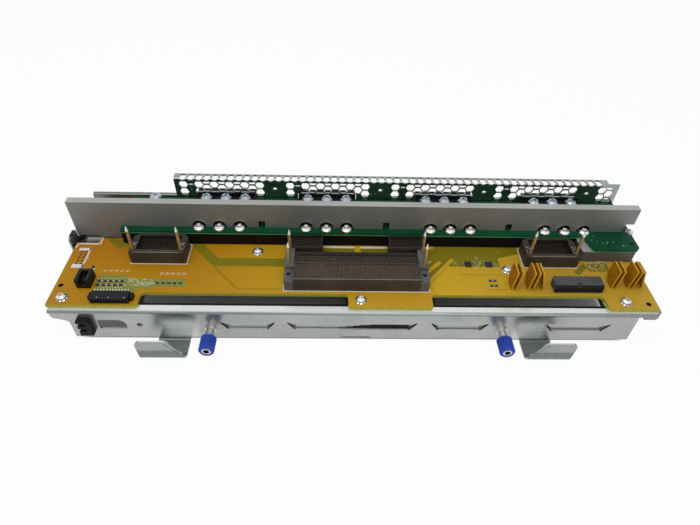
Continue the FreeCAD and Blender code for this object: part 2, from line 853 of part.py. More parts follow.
# Left ear: a rounded tab folded up beside the board
ear_root = sketch_on(tray, "XY_Plane", tray_under)
rectangle(ear_root, -side_reach, s.ear_front, -half_tray + s.sheet_gauge, s.ear_front + s.ear_length)
pad(tray, ear_root, s.sheet_gauge)
ear_top = tray_under + s.ear_height
ear = sketch_on(tray, "YZ_Plane", -side_reach)
rectangle(ear, s.ear_front, tray_under, s.ear_front + s.ear_length, ear_top)
pad(tray, ear, s.sheet_gauge)
ear_corners = [(s.ear_front, ear_top), (s.ear_front + s.ear_length, ear_top)]
dress(tray, "Fillet", s.ear_round, "X", ear_corners)
for side in (-1, 1):
    pad_outer = side * (s.handle_inner + s.pad_width)
    pad_rise = s.pad_height - s.handle_bend
    pad_inner = side * (s.handle_inner + s.pad_slope * pad_rise / (pad_rise + s.sheet_gauge))
    pad_top = floor.value + s.pad_height.value
    pad_edges = []
    for index, edge in enumerate(tray.Tip.Shape.Edges, start=1):
        ends_of = [vertex.Point for vertex in edge.Vertexes]
        for corner_x in (pad_outer.value, pad_inner.value):
            gaps = [abs(p.x - corner_x) + abs(p.z - pad_top) for p in ends_of]
            if len(gaps) == 2 and max(gaps) < SAME_PLACE:
                pad_edges.append(f"Edge{index}")
    corner = tray.newObject("PartDesign::Fillet", "pad_corner")
    corner.Base = (tray.Tip if tray.Tip != corner else corner.BaseFeature, pad_edges)
    bind(corner, "Radius", s.pad_round)
    doc.recompute()
node(tray, "carrier_tray")

# Guide block under the right front corner of the tray
block = new_body("guide_block", side_reach - s.block_width, s.block_front, tray_under - s.block_height)
block_plan = sketch_on(block, "XY_Plane")
rectangle(block_plan, ZERO, ZERO, s.block_width, s.block_length)
pad(block, block_plan, s.block_height)
dress(block, "Chamfer", s.block_chamfer, "Y", [(s.block_width, ZERO)])
node(block, "guide_block")

# Rear rail: an upright strip riveted behind the tray, its top edge folded back, open behind each supply connector
rail = new_body("rear_rail")
rail_section = sketch_on(rail, "YZ_Plane")
outline(rail_section, [
    (screen_back, -s.rail_drop),
    (screen_back, s.rail_top),
    (screen_back + s.rail_lip, s.rail_top),
    (screen_back + s.rail_lip, s.rail_top - s.sheet_gauge),
    (rail_back, s.rail_top - s.sheet_gauge),
    (rail_back, -s.rail_drop),
])
pad(rail, rail_section, tray_width, both_ways=True)
dress(rail, "Fillet", s.sheet_gauge, "X", [(screen_back, s.rail_top)])
supply_bottom = midplane_under - s.supply_below
supply_top = midplane_top + s.supply_above
rail_cut = sketch_on(rail, "XZ_Plane", -s.screen_face)
for centre in trios:
    half = s.supply_length / 2 + s.supply_gap
    rectangle(rail_cut, centre - half, supply_bottom - s.supply_gap, centre + half, s.rail_top + s.sheet_gauge)
low_rivets = [(x, s.low_rivet_height) for x in [s.left_rivet_inset - s.screen_left] + upper_rivets]
base_rivets = [(side * rail_rivet_x, -s.rail_rivet_drop) for side in (-1, 0, 1)]
for x, z in low_rivets + base_rivets:
    circle(rail_cut, x, z, s.rivet_shank + s.rivet_fit)
pocket(rail, rail_cut, s.screen_flange)
node(rail, "rear_rail")

# The tray's rear flange takes the rail's lower rivets
flange_holes = sketch_on(tray, "XZ_Plane", -s.midplane_rear)
for x, z in base_rivets:
    circle(flange_holes, x, z, s.rivet_shank + s.rivet_fit)
pocket(tray, flange_holes, screen_back)

# Honeycomb screen: a punched sheet with its top edge folded back
screen = new_body("honeycomb_screen")
screen_width = s.screen_left + screen_right
screen_section = sketch_on(screen, "YZ_Plane", -s.screen_left)
outline(screen_section, [
    (s.screen_face, s.screen_bottom),
    (s.screen_face, s.screen_top),
    (rear_reach, s.screen_top),
    (rear_reach, s.screen_top - s.sheet_gauge),
    (screen_back, s.screen_top - s.sheet_gauge),
    (screen_back, s.screen_bottom),
])
pad(screen, screen_section, screen_width)
dress(screen, "Fillet", s.sheet_gauge, "X", [(s.screen_face, s.screen_top)])
corner_cut = sketch_on(screen, "XY_Plane", s.screen_top)
rectangle(corner_cut, screen_flange_right, screen_back, screen_right + s.sheet_gauge, rear_reach + s.sheet_gauge)
pocket(screen, corner_cut, 2 * s.sheet_gauge)
plate_cut = sketch_on(screen, "XZ_Plane", -s.screen_face)
for centre in trios:
    half = s.supply_length / 2 + s.supply_gap
    rectangle(plate_cut, centre - half, supply_bottom - s.supply_gap, centre + half, supply_top + s.supply_gap)
for x, z in low_rivets + [(x, s.screen_rivet_height) for x in upper_rivets]:
    circle(plate_cut, x, z, s.rivet_shank + s.rivet_fit)
pocket(screen, plate_cut, s.sheet_gauge)


def prism(points, direction):
    return Part.Face(Part.makePolygon(points + points[:1])).extrude(direction)


def clipped(low, high, value):
    return max(low, min(high, value))


# Cells of the screen: hexagons in staggered columns, cut off at a roof and a floor line.
# Each field has one column, a short slot, a group of columns, and blank metal with a rivet.
across = s.cell_width.value
half_side = across / math.sqrt(3) / 2
column = cell_column.value
row_pitch = across + s.cell_web.value
through = FreeCAD.Vector(0, 3 * s.sheet_gauge.value, 0)
before_face = s.screen_face.value - s.sheet_gauge.value
cells = []
columns = int((screen_width.value - 2 * s.cell_margin.value + across / 2) / column) + 1
for index in range(columns):
    x = first_cell_x.value + index * column
    step = index % int(s.field_columns.value)
    if step == 1 and index + 1 < columns:
        half_length = s.dash_length.value / 2
        foot = s.cell_first_height.value - s.dash_height.value / 2
        ring = [(x + a, foot + b) for a in (-half_length, half_length) for b in (0, s.dash_height.value)]
        ring = [ring[0], ring[2], ring[3], ring[1]]
        cells.append(prism([FreeCAD.Vector(a, before_face, b) for a, b in ring], through))
    in_field = s.field_start.value <= step <= s.field_end.value
    if not in_field and step != 0 and index + 1 < columns:
        continue
    blocked = min(abs(x - centre.value) for centre in trios) < s.supply_length.value / 2 + 2 * half_side
    lowest = supply_top.value + s.cell_web.value if blocked else s.cell_floor.value
    for rank in (1, 0, -1, -2):
        z = s.cell_first_height.value + rank * row_pitch - (index % 2) * row_pitch / 2
        top = min(s.cell_roof.value, z + across / 2)
        bottom = max(lowest, z - across / 2)
        if top - bottom < across / 4:
            continue
        levels = sorted({bottom, clipped(bottom, top, z), top})
        right = []
        for level in levels:
            right.append((2 * half_side - abs(level - z) / math.sqrt(3), level))
        ring = [(x + reach, level) for reach, level in right] + [(x - reach, level) for reach, level in right[::-1]]
        cells.append(prism([FreeCAD.Vector(a, before_face, b) for a, b in ring], through))
# One row of cells runs along the top edge, and the fold passes through them
lip_count = int((s.screen_left.value + screen_flange_right.value - s.cell_margin.value) / s.lip_cell_pitch.value)
for index in range(lip_count):
    x = -s.screen_left.value + s.cell_margin.value + index * s.lip_cell_pitch.value
    y = s.screen_face.value + s.lip_cell_setback.value
    long_half = s.lip_cell_length.value / 2
    short_half = s.lip_cell_depth.value / 2
    ring = [(long_half, 0), (long_half / 2, short_half), (-long_half / 2, short_half)]
    ring += [(-a, -b) for a, b in ring]
    level = s.screen_top.value - 1.5 * s.sheet_gauge.value
    points = [FreeCAD.Vector(x + a, y + b, level) for a, b in ring]
    cells.append(prism(points, FreeCAD.Vector(0, 0, 3 * s.sheet_gauge.value)))
punch = doc.addObject("Part::Feature", "screen_cells")
punch.Shape = Part.makeCompound(cells)
place(punch, ZERO, ZERO, ZERO)
perforated = doc.addObject("Part::Cut", "perforated_screen")
perforated.Base = screen
perforated.Tool = punch
node(perforated, "honeycomb_screen")


def rivet(name, x, z, grip_start, grip):
    """A rivet along Y with a low head at both ends of its grip."""
    head = s.rivet_head / 2
    shank = s.rivet_shank / 2
    return turned(name, [
        (ZERO, -s.rivet_head_height),
        (shank, -s.rivet_head_height),
        (head, ZERO),
        (shank, ZERO),
        (shank, grip),
        (head, grip),
        (shank, grip + s.rivet_head_height),
        (ZERO, grip + s.rivet_head_height),
    ], x, grip_start, z, along_y=True)


together("screen_rivets", [
    rivet("screen_rivet", x, s.screen_rivet_height, s.screen_face, s.sheet_gauge) for x in upper_rivets
])
rail_rivets = [rivet("low_rivet", x, z, s.screen_face, 2 * s.sheet_gauge) for x, z in low_rivets]
rail_rivets += [rivet("base_rivet", x, z, s.screen_face, 2 * s.sheet_gauge) for x, z in base_rivets]
together("rail_rivets", rail_rivets)

# Power board: thick ochre circuit board with three tabs along its front
board = new_body("power_board", z=tray_top)
board_plan = sketch_on(board, "XY_Plane")
outline(board_plan, [
    (-half_board, ZERO),
    (left_recess, ZERO),
    (left_recess, s.recess_depth),
    (s.centre_tab_start, s.recess_depth),
    (s.centre_tab_start, ZERO),
    (centre_tab_end, ZERO),
    (centre_tab_end, s.recess_depth),
    (right_recess, s.recess_depth),
    (right_recess + s.right_tab_slant, ZERO),
    (half_board, ZERO),
    (half_board, s.board_depth),
    (s.notch_width - half_board, s.board_depth),
    (s.notch_width - half_board, s.notch_front + s.notch_chamfer),
    (s.notch_width - s.notch_chamfer - half_board, s.notch_front),
    (-half_board, s.notch_front),
])
pad(board, board_plan, s.board_thickness)
dress(board, "Fillet", s.recess_round, "Z", [
    (left_recess, ZERO),
    (left_recess, s.recess_depth),
    (s.centre_tab_start, s.recess_depth),
    (s.centre_tab_start, ZERO),
    (centre_tab_end, ZERO),
    (centre_tab_end, s.recess_depth),
    (right_recess, s.recess_depth),
    (right_recess + s.right_tab_slant, ZERO),
])
board_holes = sketch_on(board, "XY_Plane", s.board_thickness)
for x, y in board_screws:
    circle(board_holes, x, y, s.clearance_hole)
for x, y in tooling_holes:
    circle(board_holes, x, y, s.tooling_hole)
pocket(board, board_holes, s.board_thickness)
node(board, "power_board")


def board_screw(x, y):
    """A pan-head screw with a cross recess, standing on its washer."""
    seat = s.washer_height
    head = s.screw_head / 2
    body = turned("board_screw", [
        (ZERO, -s.board_screw_reach),
        (s.screw_thread / 2, -s.board_screw_reach),
        (s.screw_thread / 2, seat),
        (head, seat),
        (head, seat + s.screw_head_height - s.screw_crown),
        (head * 0.6, seat + s.screw_head_height),
        (ZERO, seat + s.screw_head_height),
    ], x, y, ZERO)
    cross = sketch_on(body, "XY_Plane", seat + s.screw_head_height)
    arm = s.drive_width / 2
    thin = s.drive_width / 6
    outline(cross, [
        (arm, -thin), (arm, thin), (thin, thin), (thin, arm), (-thin, arm), (-thin, thin),
        (-arm, thin), (-arm, -thin), (-thin, -thin), (-thin, -arm), (thin, -arm), (thin, -thin),
    ])
    pocket(body, cross, s.drive_recess)
    return body


def board_washer(x, y):
    return turned("board_washer", [
        (s.clearance_hole / 2, ZERO),
        (s.washer_width / 2, ZERO),
        (s.washer_width / 2, s.washer_height / 2),
        (s.screw_head / 2, s.washer_height),
        (s.clearance_hole / 2, s.washer_height),
    ], x, y, ZERO)


together("power_board_screws", [board_screw(x, y) for x, y in board_screws])
together("power_board_washers", [board_washer(x, y) for x, y in board_screws])

# Spacer frame: dark cast frame that carries the midplane, with a wing at the right
spacer = new_body("spacer_frame")
spacer_plan = sketch_on(spacer, "XY_Plane")
outline(spacer_plan, [
    (-spacer_left, s.spacer_front),
    (spacer_wing_left, s.spacer_front),
    (spacer_wing_left, s.spacer_wing_front),
    (spacer_right, s.spacer_wing_front),
    (spacer_right, s.spacer_rear),
    (-spacer_left, s.spacer_rear),
])
pad(spacer, spacer_plan, s.spacer_height)
dress(spacer, "Fillet", s.spacer_round, "Z", [
    (spacer_wing_left, s.spacer_wing_front),
    (spacer_right, s.spacer_wing_front),
])
spacer_holes = sketch_on(spacer, "XY_Plane", s.spacer_height)
for x in trio_places:
    for y in (s.front_row, s.rear_row):
        circle(spacer_holes, x, y, s.tapped_hole)
circle(spacer_holes, left_screw_x, s.rear_row, s.tapped_hole)
circle(spacer_holes, midplane_right - s.standoff_inset, s.standoff_depth, s.tapped_hole)
pocket(spacer, spacer_holes, s.spacer_height)
node(spacer, "spacer_frame")

# Insulator strip along the spacer's front
insulator = doc.addObject("Part::Box", "insulator_strip")
bind(insulator, "Length", spacer_left + spacer_wing_left)
bind(insulator, "Width", s.insulator_thickness)
bind(insulator, "Height", s.spacer_height)
place(insulator, -spacer_left, s.spacer_front - s.insulator_thickness, ZERO)
node(insulator, "insulator_strip")

# Midplane board: green board with a wing at the right
midplane = new_body("midplane_board", z=midplane_under)
midplane_plan = sketch_on(midplane, "XY_Plane")
outline(midplane_plan, [
    (-midplane_left, s.midplane_front),
    (wing_left, s.midplane_front),
    (wing_left + s.wing_slope, s.wing_front),
    (midplane_right - s.wing_chamfer, s.wing_front),
    (midplane_right, s.wing_front + s.wing_chamfer),
    (midplane_right, s.midplane_rear),
    (-midplane_left, s.midplane_rear),
])
pad(midplane, midplane_plan, s.midplane_thickness)
dress(midplane, "Fillet", s.recess_round, "Z", [
    (wing_left, s.midplane_front),
    (wing_left + s.wing_slope, s.wing_front),
])
midplane_holes = sketch_on(midplane, "XY_Plane", s.midplane_thickness)
for x in trio_places:
    for y in (s.front_row, s.rear_row):
        circle(midplane_holes, x, y, s.clearance_hole)
circle(midplane_holes, left_screw_x, s.rear_row, s.clearance_hole)
circle(midplane_holes, midplane_right - s.standoff_inset, s.standoff_depth, s.clearance_hole)
circle(midplane_holes, midplane_right - s.wing_hole_inset, s.wing_hole_depth, s.wing_hole)
pocket(midplane, midplane_holes, s.midplane_thickness)
node(midplane, "midplane_board")


def dome_screw(x, y, seat=ZERO, collar=ZERO):
    """A bright dome-head screw with its own washer and a round drive recess, on a seat or on a thick collar."""
    head = s.dome_head / 2
    recess = s.drive_width / 2
    top = s.dome_height + collar
    return turned("dome_screw", [
        (ZERO, -s.midplane_screw_reach),
        (s.screw_thread / 2, -s.midplane_screw_reach),
        (s.screw_thread / 2, ZERO),
        (head, ZERO),
        (head, s.dome_washer + collar),
        (head - s.dome_groove, s.dome_washer + collar),
        (head - s.dome_groove / 2, top - s.dome_crown),
        (head * 0.7, top - s.dome_crown / 4),
        (recess, top),
        (recess, top - s.dome_recess),
        (ZERO, top - s.dome_recess),
    ], x, y, midplane_top + seat)


together("midplane_front_screws", [dome_screw(x, s.front_row) for x in trio_places])
rear_screws = [dome_screw(x, s.rear_row, seat=s.supply_foot) for x in trio_places]
rear_screws.append(dome_screw(left_screw_x, s.rear_row, collar=s.supply_foot))
together("midplane_rear_screws", rear_screws)

# Corner standoff: a hexagonal nut with a stud through the midplane
standoff = doc.addObject("Part::Prism", "standoff_hexagon")
standoff.Polygon = 6
bind(standoff, "Circumradius", s.standoff_flats / math.sqrt(3))
bind(standoff, "Height", s.standoff_height)
place(standoff, midplane_right - s.standoff_inset, s.standoff_depth, midplane_top)
stud = doc.addObject("Part::Cylinder", "standoff_stud")
bind(stud, "Radius", s.screw_thread / 2)
bind(stud, "Height", s.midplane_screw_reach + s.standoff_height)
place(stud, midplane_right - s.standoff_inset, s.standoff_depth, midplane_top - s.midplane_screw_reach)
corner_standoff = doc.addObject("Part::Fuse", "corner_standoff")
corner_standoff.Base = standoff
corner_standoff.Tool = stud
node(corner_standoff, "corner_standoff")

# Stiffener bar: a thick plate on edge, arched over the front screws, with a foot at its left end
bar = new_body("stiffener_bar", y=s.bar_face)
bar_front = sketch_on(bar, "XZ_Plane")
foot_right = -midplane_left - s.bar_foot_clearance
outline(bar_front, [
    (-bar_left, s.bar_foot_notch_height),
    (s.bar_foot_notch - bar_left, s.bar_foot_notch_height),
    (s.bar_foot_notch + s.bar_foot_notch_height - bar_left, ZERO),
    (foot_right, ZERO),
    (foot_right, midplane_top),
    (bar_step_right, midplane_top),
    (bar_step_right, s.bar_step_height),
    (bar_right, s.bar_step_height),
    (bar_right, s.bar_top),
    (-bar_left, s.bar_top),
])
pad(bar, bar_front, s.bar_thickness, reverse=True)
arches = sketch_on(bar, "XZ_Plane")
for x in trio_places:
    circle(arches, x, midplane_top + s.arch_rise, s.arch_width)
pocket(bar, arches, s.arch_depth)
bar_notches = sketch_on(bar, "XZ_Plane")
for x in (s.bar_notch_1, s.bar_notch_2, s.bar_notch_3):
    half = s.bar_notch_width / 2
    rectangle(bar_notches, x - half, midplane_top - s.sheet_gauge, x + half, midplane_top + s.bar_notch_height)
pocket(bar, bar_notches, s.arch_depth)
node(bar, "stiffener_bar")


def guide_pin(name, x, y, top):
    """A round guide pin with a long pointed tip, its thinner shank sunk into a connector."""
    radius = s.pin_width / 2
    return turned(name, [
        (ZERO, -s.pin_seat),
        (s.pin_shank / 2, -s.pin_seat),
        (s.pin_shank / 2, ZERO),
        (radius, ZERO),
        (radius, s.pin_top - s.pin_point - top),
        (s.pin_tip / 2, s.pin_top - top),
        (ZERO, s.pin_top - top),
    ], x, y, top)


def side_connector(label, x):
    """A dark moulded power connector with a sunk row of blade slots and two guide-pin holes."""
    body = new_body(label, x, s.side_connector_front)
    half = s.side_connector_length / 2
    plan = sketch_on(body, "XY_Plane")
    rectangle(plan, -half, ZERO, half, s.side_connector_depth)
    pad(body, plan, s.side_connector_height)
    rear_corners = [(-half, s.side_connector_depth), (half, s.side_connector_depth)]
    dress(body, "Chamfer", s.side_connector_chamfer, "Z", rear_corners)
    well = sketch_on(body, "XY_Plane", s.side_connector_height)
    inner = half - s.well_end_wall
    well_rear = s.side_connector_depth - s.well_rear_wall
    rectangle(well, -inner, s.well_front_wall, inner, well_rear)
    pocket(body, well, s.well_depth)
    slot = sketch_on(body, "XY_Plane", s.side_connector_height - s.well_depth)
    count = int((2 * inner.value - s.blade_slot.value) / s.blade_pitch.value)
    start = -s.blade_pitch * (count - 1) / 2 - s.blade_slot / 2
    slot_front = s.well_front_wall + s.blade_slot_margin
    rectangle(slot, start, slot_front, start + s.blade_slot, well_rear - s.blade_slot_margin)
    first = pocket(body, slot, s.blade_slot_depth)
    repeat(body, first, slot, count, s.blade_pitch)
    holes = sketch_on(body, "XY_Plane", s.side_connector_height)
    for side in (-1, 1):
        circle(holes, side * s.side_pin_span / 2, s.side_pin_setback, s.pin_shank + s.pin_fit)
    pocket(body, holes, s.pin_seat)
    node(body, label)
    pin_y = s.side_connector_front + s.side_pin_setback
    top = s.side_connector_height
    return [guide_pin("side_pin", x + side * s.side_pin_span / 2, pin_y, top) for side in (-1, 1)]


together("left_guide_pins", side_connector("left_connector", -side_connector_x))
together("right_guide_pins", side_connector("right_connector", side_connector_x))


def housing_screw(x):
    half = s.housing_screw / 2
    return turned("housing_screw", [
        (ZERO, ZERO),
        (half, ZERO),
        (half, s.housing_screw_height * 0.6),
        (half * 0.7, s.housing_screw_height),
        (ZERO, s.housing_screw_height),
    ], x, s.side_connector_front + s.housing_screw_setback, s.side_connector_height)


together("connector_screws", [
    housing_screw(middle * side_connector_x + side * s.housing_screw_span / 2)
    for middle in (-1, 1) for side in (-1, 1)
])

# Centre connector: long housing with two rows of fine contact slots
centre = new_body("centre_connector", s.centre_connector_x, s.centre_connector_front)
core_half = s.centre_connector_length / 2 - s.end_block_length
centre_plan = sketch_on(centre, "XY_Plane")
rectangle(centre_plan, -core_half, ZERO, core_half, s.centre_connector_depth)
pad(centre, centre_plan, s.centre_connector_height)
slot_count = int((2 * core_half.value - 2 * s.contact_margin.value) / s.contact_pitch.value)
slot_start = -s.contact_pitch * (slot_count - 1) / 2 - s.contact_slot / 2
rear_row_start = s.contact_front_land + s.contact_front_row + s.contact_land
for row_start, row_length in (
    (s.contact_front_land, s.contact_front_row),
    (rear_row_start, s.contact_rear_row),
):
    slot = sketch_on(centre, "XY_Plane", s.centre_connector_height)
    rectangle(slot, slot_start, row_start, slot_start + s.contact_slot, row_start + row_length)
    repeat(centre, pocket(centre, slot, s.contact_depth), slot, slot_count, s.contact_pitch)
node(centre, "centre_connector")

# End blocks of the centre connector, stepped down at the front, each with two guide pins and a screw hole
centre_pins = []
end_blocks = []
for side in (-1, 1):
    block_x = s.centre_connector_x + side * (s.centre_connector_length - s.end_block_length) / 2
    end_block = new_body("end_block", block_x, s.centre_connector_front)
    half = s.end_block_length / 2
    shape = sketch_on(end_block, "YZ_Plane")
    step = s.centre_pin_first - s.pin_width
    outline(shape, [
        (ZERO, ZERO),
        (s.end_block_depth, ZERO),
        (s.end_block_depth, s.centre_connector_height),
        (step, s.centre_connector_height),
        (step, s.centre_connector_height - s.end_block_seat),
        (ZERO, s.centre_connector_height - s.end_block_seat),
    ])
    pad(end_block, shape, s.end_block_length, both_ways=True)
    dress(end_block, "Fillet", s.end_block_round, "Z", [(side * half, ZERO), (side * half, s.end_block_depth)])
    holes = sketch_on(end_block, "XY_Plane", s.centre_connector_height)
    for step in (0, 1):
        circle(holes, ZERO, s.centre_pin_first + step * s.centre_pin_pitch, s.pin_shank + s.pin_fit)
    circle(holes, ZERO, s.centre_pin_first / 2, s.housing_screw)
    pocket(end_block, holes, s.pin_seat)
    end_blocks.append(end_block)
    for step in (0, 1):
        pin_y = s.centre_connector_front + s.centre_pin_first + step * s.centre_pin_pitch
        centre_pins.append(guide_pin("centre_pin", block_x, pin_y, s.centre_connector_height))
together("centre_end_blocks", end_blocks)
together("centre_guide_pins", centre_pins)

# Mezzanine connectors: two small housings with sunk contact rows, behind the centre connector
for label, side in (("left_mezzanine", -1), ("right_mezzanine", 1)):
    body = new_body(label, s.centre_connector_x + side * s.mezzanine_x, s.mezzanine_front)
    half = s.mezzanine_length / 2
    plan = sketch_on(body, "XY_Plane")
    rectangle(plan, -half, ZERO, half, s.mezzanine_depth)
    pad(body, plan, s.mezzanine_height)
    well = sketch_on(body, "XY_Plane", s.mezzanine_height)
    rectangle(well, s.mezzanine_wall - half, s.mezzanine_wall, half - s.mezzanine_wall, s.mezzanine_depth - s.mezzanine_wall)
    pocket(body, well, s.mezzanine_well)
    groove = sketch_on(body, "XY_Plane", s.mezzanine_height - s.mezzanine_well)
    rows = int((s.mezzanine_depth.value - 4 * s.mezzanine_wall.value) / s.mezzanine_row_pitch.value) + 1
    row_front = s.mezzanine_depth / 2 - s.mezzanine_row_pitch * (rows - 1) / 2 - s.mezzanine_row / 2
    reach = half - 2 * s.mezzanine_wall
    rectangle(groove, -reach, row_front, reach, row_front + s.mezzanine_row)
    first = pocket(body, groove, s.mezzanine_row_depth)
    repeat(body, first, groove, rows, s.mezzanine_row_pitch, axis="V_Axis")
    node(body, label)

# Signal header: low black housing with end tabs and a row of sockets in its front
header = new_body("signal_header", signal_header_x, s.signal_header_front)
half = s.signal_header_length / 2
core = half - s.signal_header_tab
plan = sketch_on(header, "XY_Plane")
rectangle(plan, -core, ZERO, core, s.signal_header_depth)
pad(header, plan, s.signal_header_height)
tab_plan = sketch_on(header, "XY_Plane")
rectangle(tab_plan, -half, s.signal_header_depth / 3, half, s.signal_header_depth)
pad(header, tab_plan, s.signal_header_tab_height)
socket = sketch_on(header, "XZ_Plane")
socket_count = int(2 * core.value / s.signal_pitch.value)
socket_start = -s.signal_pitch * (socket_count - 1) / 2 - s.signal_slot / 2
socket_foot = (s.signal_header_height - s.signal_slot_height) / 2
rectangle(socket, socket_start, socket_foot, socket_start + s.signal_slot, socket_foot + s.signal_slot_height)
repeat(header, pocket(header, socket, s.signal_slot_depth), socket, socket_count, s.signal_pitch)
node(header, "signal_header")
leads = new_body("signal_header_leads", signal_header_x, s.signal_header_front + s.signal_header_depth)
lead_plan = sketch_on(leads, "XY_Plane")
lead_start = -s.signal_pitch * (socket_count - 1) / 2 - s.lead_width / 2
rectangle(lead_plan, lead_start, ZERO, lead_start + s.lead_width, s.lead_reach)
repeat(leads, pad(leads, lead_plan, s.lead_height), lead_plan, socket_count, s.signal_pitch)
node(leads, "signal_header_leads")

# Fan header: open-topped shroud with a row of square pins
fan = new_body("fan_header", fan_header_x, s.fan_header_front)
half = s.fan_header_width / 2
plan = sketch_on(fan, "XY_Plane")
rectangle(plan, -half, ZERO, half, s.fan_header_depth)
pad(fan, plan, s.fan_header_height)
well = sketch_on(fan, "XY_Plane", s.fan_header_height)
inner = half - s.fan_header_wall
rectangle(well, -inner, s.fan_header_wall, inner, s.fan_header_depth - s.fan_header_wall)
pocket(fan, well, s.fan_header_well)
gap = sketch_on(fan, "XY_Plane", s.fan_header_height)
rectangle(gap, -s.fan_header_gap / 2, -s.fan_header_wall, s.fan_header_gap / 2, 2 * s.fan_header_wall)
pocket(fan, gap, s.fan_header_well)
node(fan, "fan_header")
fan_floor = s.fan_header_height - s.fan_header_well
fan_pins = new_body("fan_header_pins", fan_header_x, s.fan_header_front, fan_floor)
pin_plan = sketch_on(fan_pins, "XY_Plane")
pin_front = s.fan_header_depth / 2 - 1.5 * s.fan_pin_pitch - s.fan_pin_width / 2
rectangle(pin_plan, -s.fan_pin_width / 2, pin_front, s.fan_pin_width / 2, pin_front + s.fan_pin_width)
first = pad(fan_pins, pin_plan, s.fan_pin_height - fan_floor)
repeat(fan_pins, first, pin_plan, 4, s.fan_pin_pitch, axis="V_Axis")
node(fan_pins, "fan_header_pins")

# Edge connector: bevelled black housing with two rows of openings in front and scallops behind
edge = new_body("edge_connector", edge_connector_x, s.edge_connector_front)
half = s.edge_connector_length / 2
profile = sketch_on(edge, "YZ_Plane")
outline(profile, [
    (ZERO, ZERO),
    (s.edge_connector_depth, ZERO),
    (s.edge_connector_depth, s.edge_connector_height),
    (s.edge_connector_bevel / 2, s.edge_connector_height),
    (ZERO, s.edge_connector_height - s.edge_connector_bevel),
])
pad(edge, profile, s.edge_connector_length, both_ways=True)
dress(edge, "Chamfer", s.edge_connector_bevel / 2, "Z", [
    (-half, s.edge_connector_depth), (half, s.edge_connector_depth),
])
mouths = sketch_on(edge, "XZ_Plane")
mouth_count = int((2 * half.value - 2 * s.edge_slot_wall.value) / s.edge_pitch.value)
mouth_start = -s.edge_pitch * (mouth_count - 1) / 2 - s.edge_pitch / 3
mouth_foot = s.edge_slot_wall / 2
rectangle(mouths, mouth_start, mouth_foot, mouth_start + 2 * s.edge_pitch / 3, mouth_foot + s.edge_slot_height)
repeat(edge, pocket(edge, mouths, s.edge_slot_depth), mouths, mouth_count, s.edge_pitch)
scallops = sketch_on(edge, "XY_Plane", s.edge_connector_height)
circle(scallops, -s.edge_pitch * (mouth_count - 1) / 2, s.edge_connector_depth, s.edge_scallop)
repeat(edge, pocket(edge, scallops, s.edge_connector_height), scallops, mouth_count, s.edge_pitch)
key = sketch_on(edge, "XY_Plane", s.edge_connector_height)
rectangle(key, -s.edge_key / 2, -s.edge_key, s.edge_key / 2, s.edge_connector_bevel + s.edge_key)
pocket(edge, key, s.edge_slot_wall)
node(edge, "edge_connector")
contact_y = s.edge_connector_front + s.edge_connector_depth
contacts = new_body("edge_connector_leads", edge_connector_x, contact_y)
contact_plan = sketch_on(contacts, "XY_Plane")
contact_start = -s.edge_pitch * (mouth_count - 2) / 2 - s.lead_width / 2
rectangle(contact_plan, contact_start, ZERO, contact_start + s.lead_width, s.lead_reach)
repeat(contacts, pad(contacts, contact_plan, s.lead_height), contact_plan, mouth_count - 1, s.edge_pitch)
node(contacts, "edge_connector_leads")


def fuse(label, x, y, lean):
    """A thin upright fuse: a coated plate with one cut corner, leaning on two leads."""
    plate = new_body(label + "_plate")
    spin = FreeCAD.Rotation(FreeCAD.Vector(0, 1, 0), lean.value)
    plate.Placement = FreeCAD.Placement(FreeCAD.Vector(), spin)
    bind(plate, ".Placement.Rotation.Angle", lean)
    place(plate, x, y, s.fuse_lift)
    face = sketch_on(plate, "YZ_Plane")
    outline(face, [
        (ZERO, ZERO),
        (s.fuse_width - s.fuse_cut, ZERO),
        (s.fuse_width, s.fuse_cut),
        (s.fuse_width, s.fuse_height),
        (ZERO, s.fuse_height),
    ])
    pad(plate, face, s.fuse_thickness, both_ways=True)
    dress(plate, "Fillet", s.fuse_round, "X", [(s.fuse_width, s.fuse_height), (ZERO, s.fuse_height)])
    whole = plate
    for step in (0, 1):
        lead = doc.addObject("Part::Cylinder", label + "_lead")
        bind(lead, "Radius", s.fuse_lead / 2)
        bind(lead, "Height", 2 * s.fuse_lift)
        place(lead, x, y + s.fuse_lead_inset + step * s.fuse_lead_spacing, ZERO)
        joined = doc.addObject("Part::Fuse", label + "_joined")
        joined.Base = whole
        joined.Tool = lead
        whole = joined
    node(whole, label)


fuse_insets = [s.fuse_1_inset, s.fuse_2_inset, s.fuse_3_inset, s.fuse_4_inset, s.fuse_5_inset]
fuse_insets += [s.fuse_6_inset, s.fuse_7_inset, s.fuse_8_inset, s.fuse_9_inset, s.fuse_10_inset]
for number, inset in enumerate(fuse_insets, start=1):
    fuse_front = s.fuse_left_front if number <= 5 else s.fuse_right_front
    fuse(f"fuse_{number}", half_board - inset, fuse_front, s.fuse_back_lean if number % 5 == 0 else s.fuse_lean)

def controller(x):
    """A square chip with bevelled top edges."""
    chip = new_body("controller", x, s.controller_depth)
    plan = sketch_on(chip, "XY_Plane")
    half = s.controller_width / 2
    rectangle(plan, -half, -half, half, half)
    pad(chip, plan, s.controller_height)
    top_edges = [(-half, s.controller_height), (half, s.controller_height)]
    dress(chip, "Chamfer", s.controller_round, "X", top_edges)
    return chip


together("controllers", [controller(x) for x in (controller_1_x, controller_2_x)])


def chip_block(name, x, y, endwise=False):
    """A flat chip that lies across the board, or endwise along it."""
    across, along = (s.chip_width, s.chip_length) if endwise else (s.chip_length, s.chip_width)
    block = doc.addObject("Part::Box", name)
    bind(block, "Length", across)
    bind(block, "Width", along)
    bind(block, "Height", s.chip_height)
    place(block, x - across / 2, y - along / 2, ZERO)
    return block


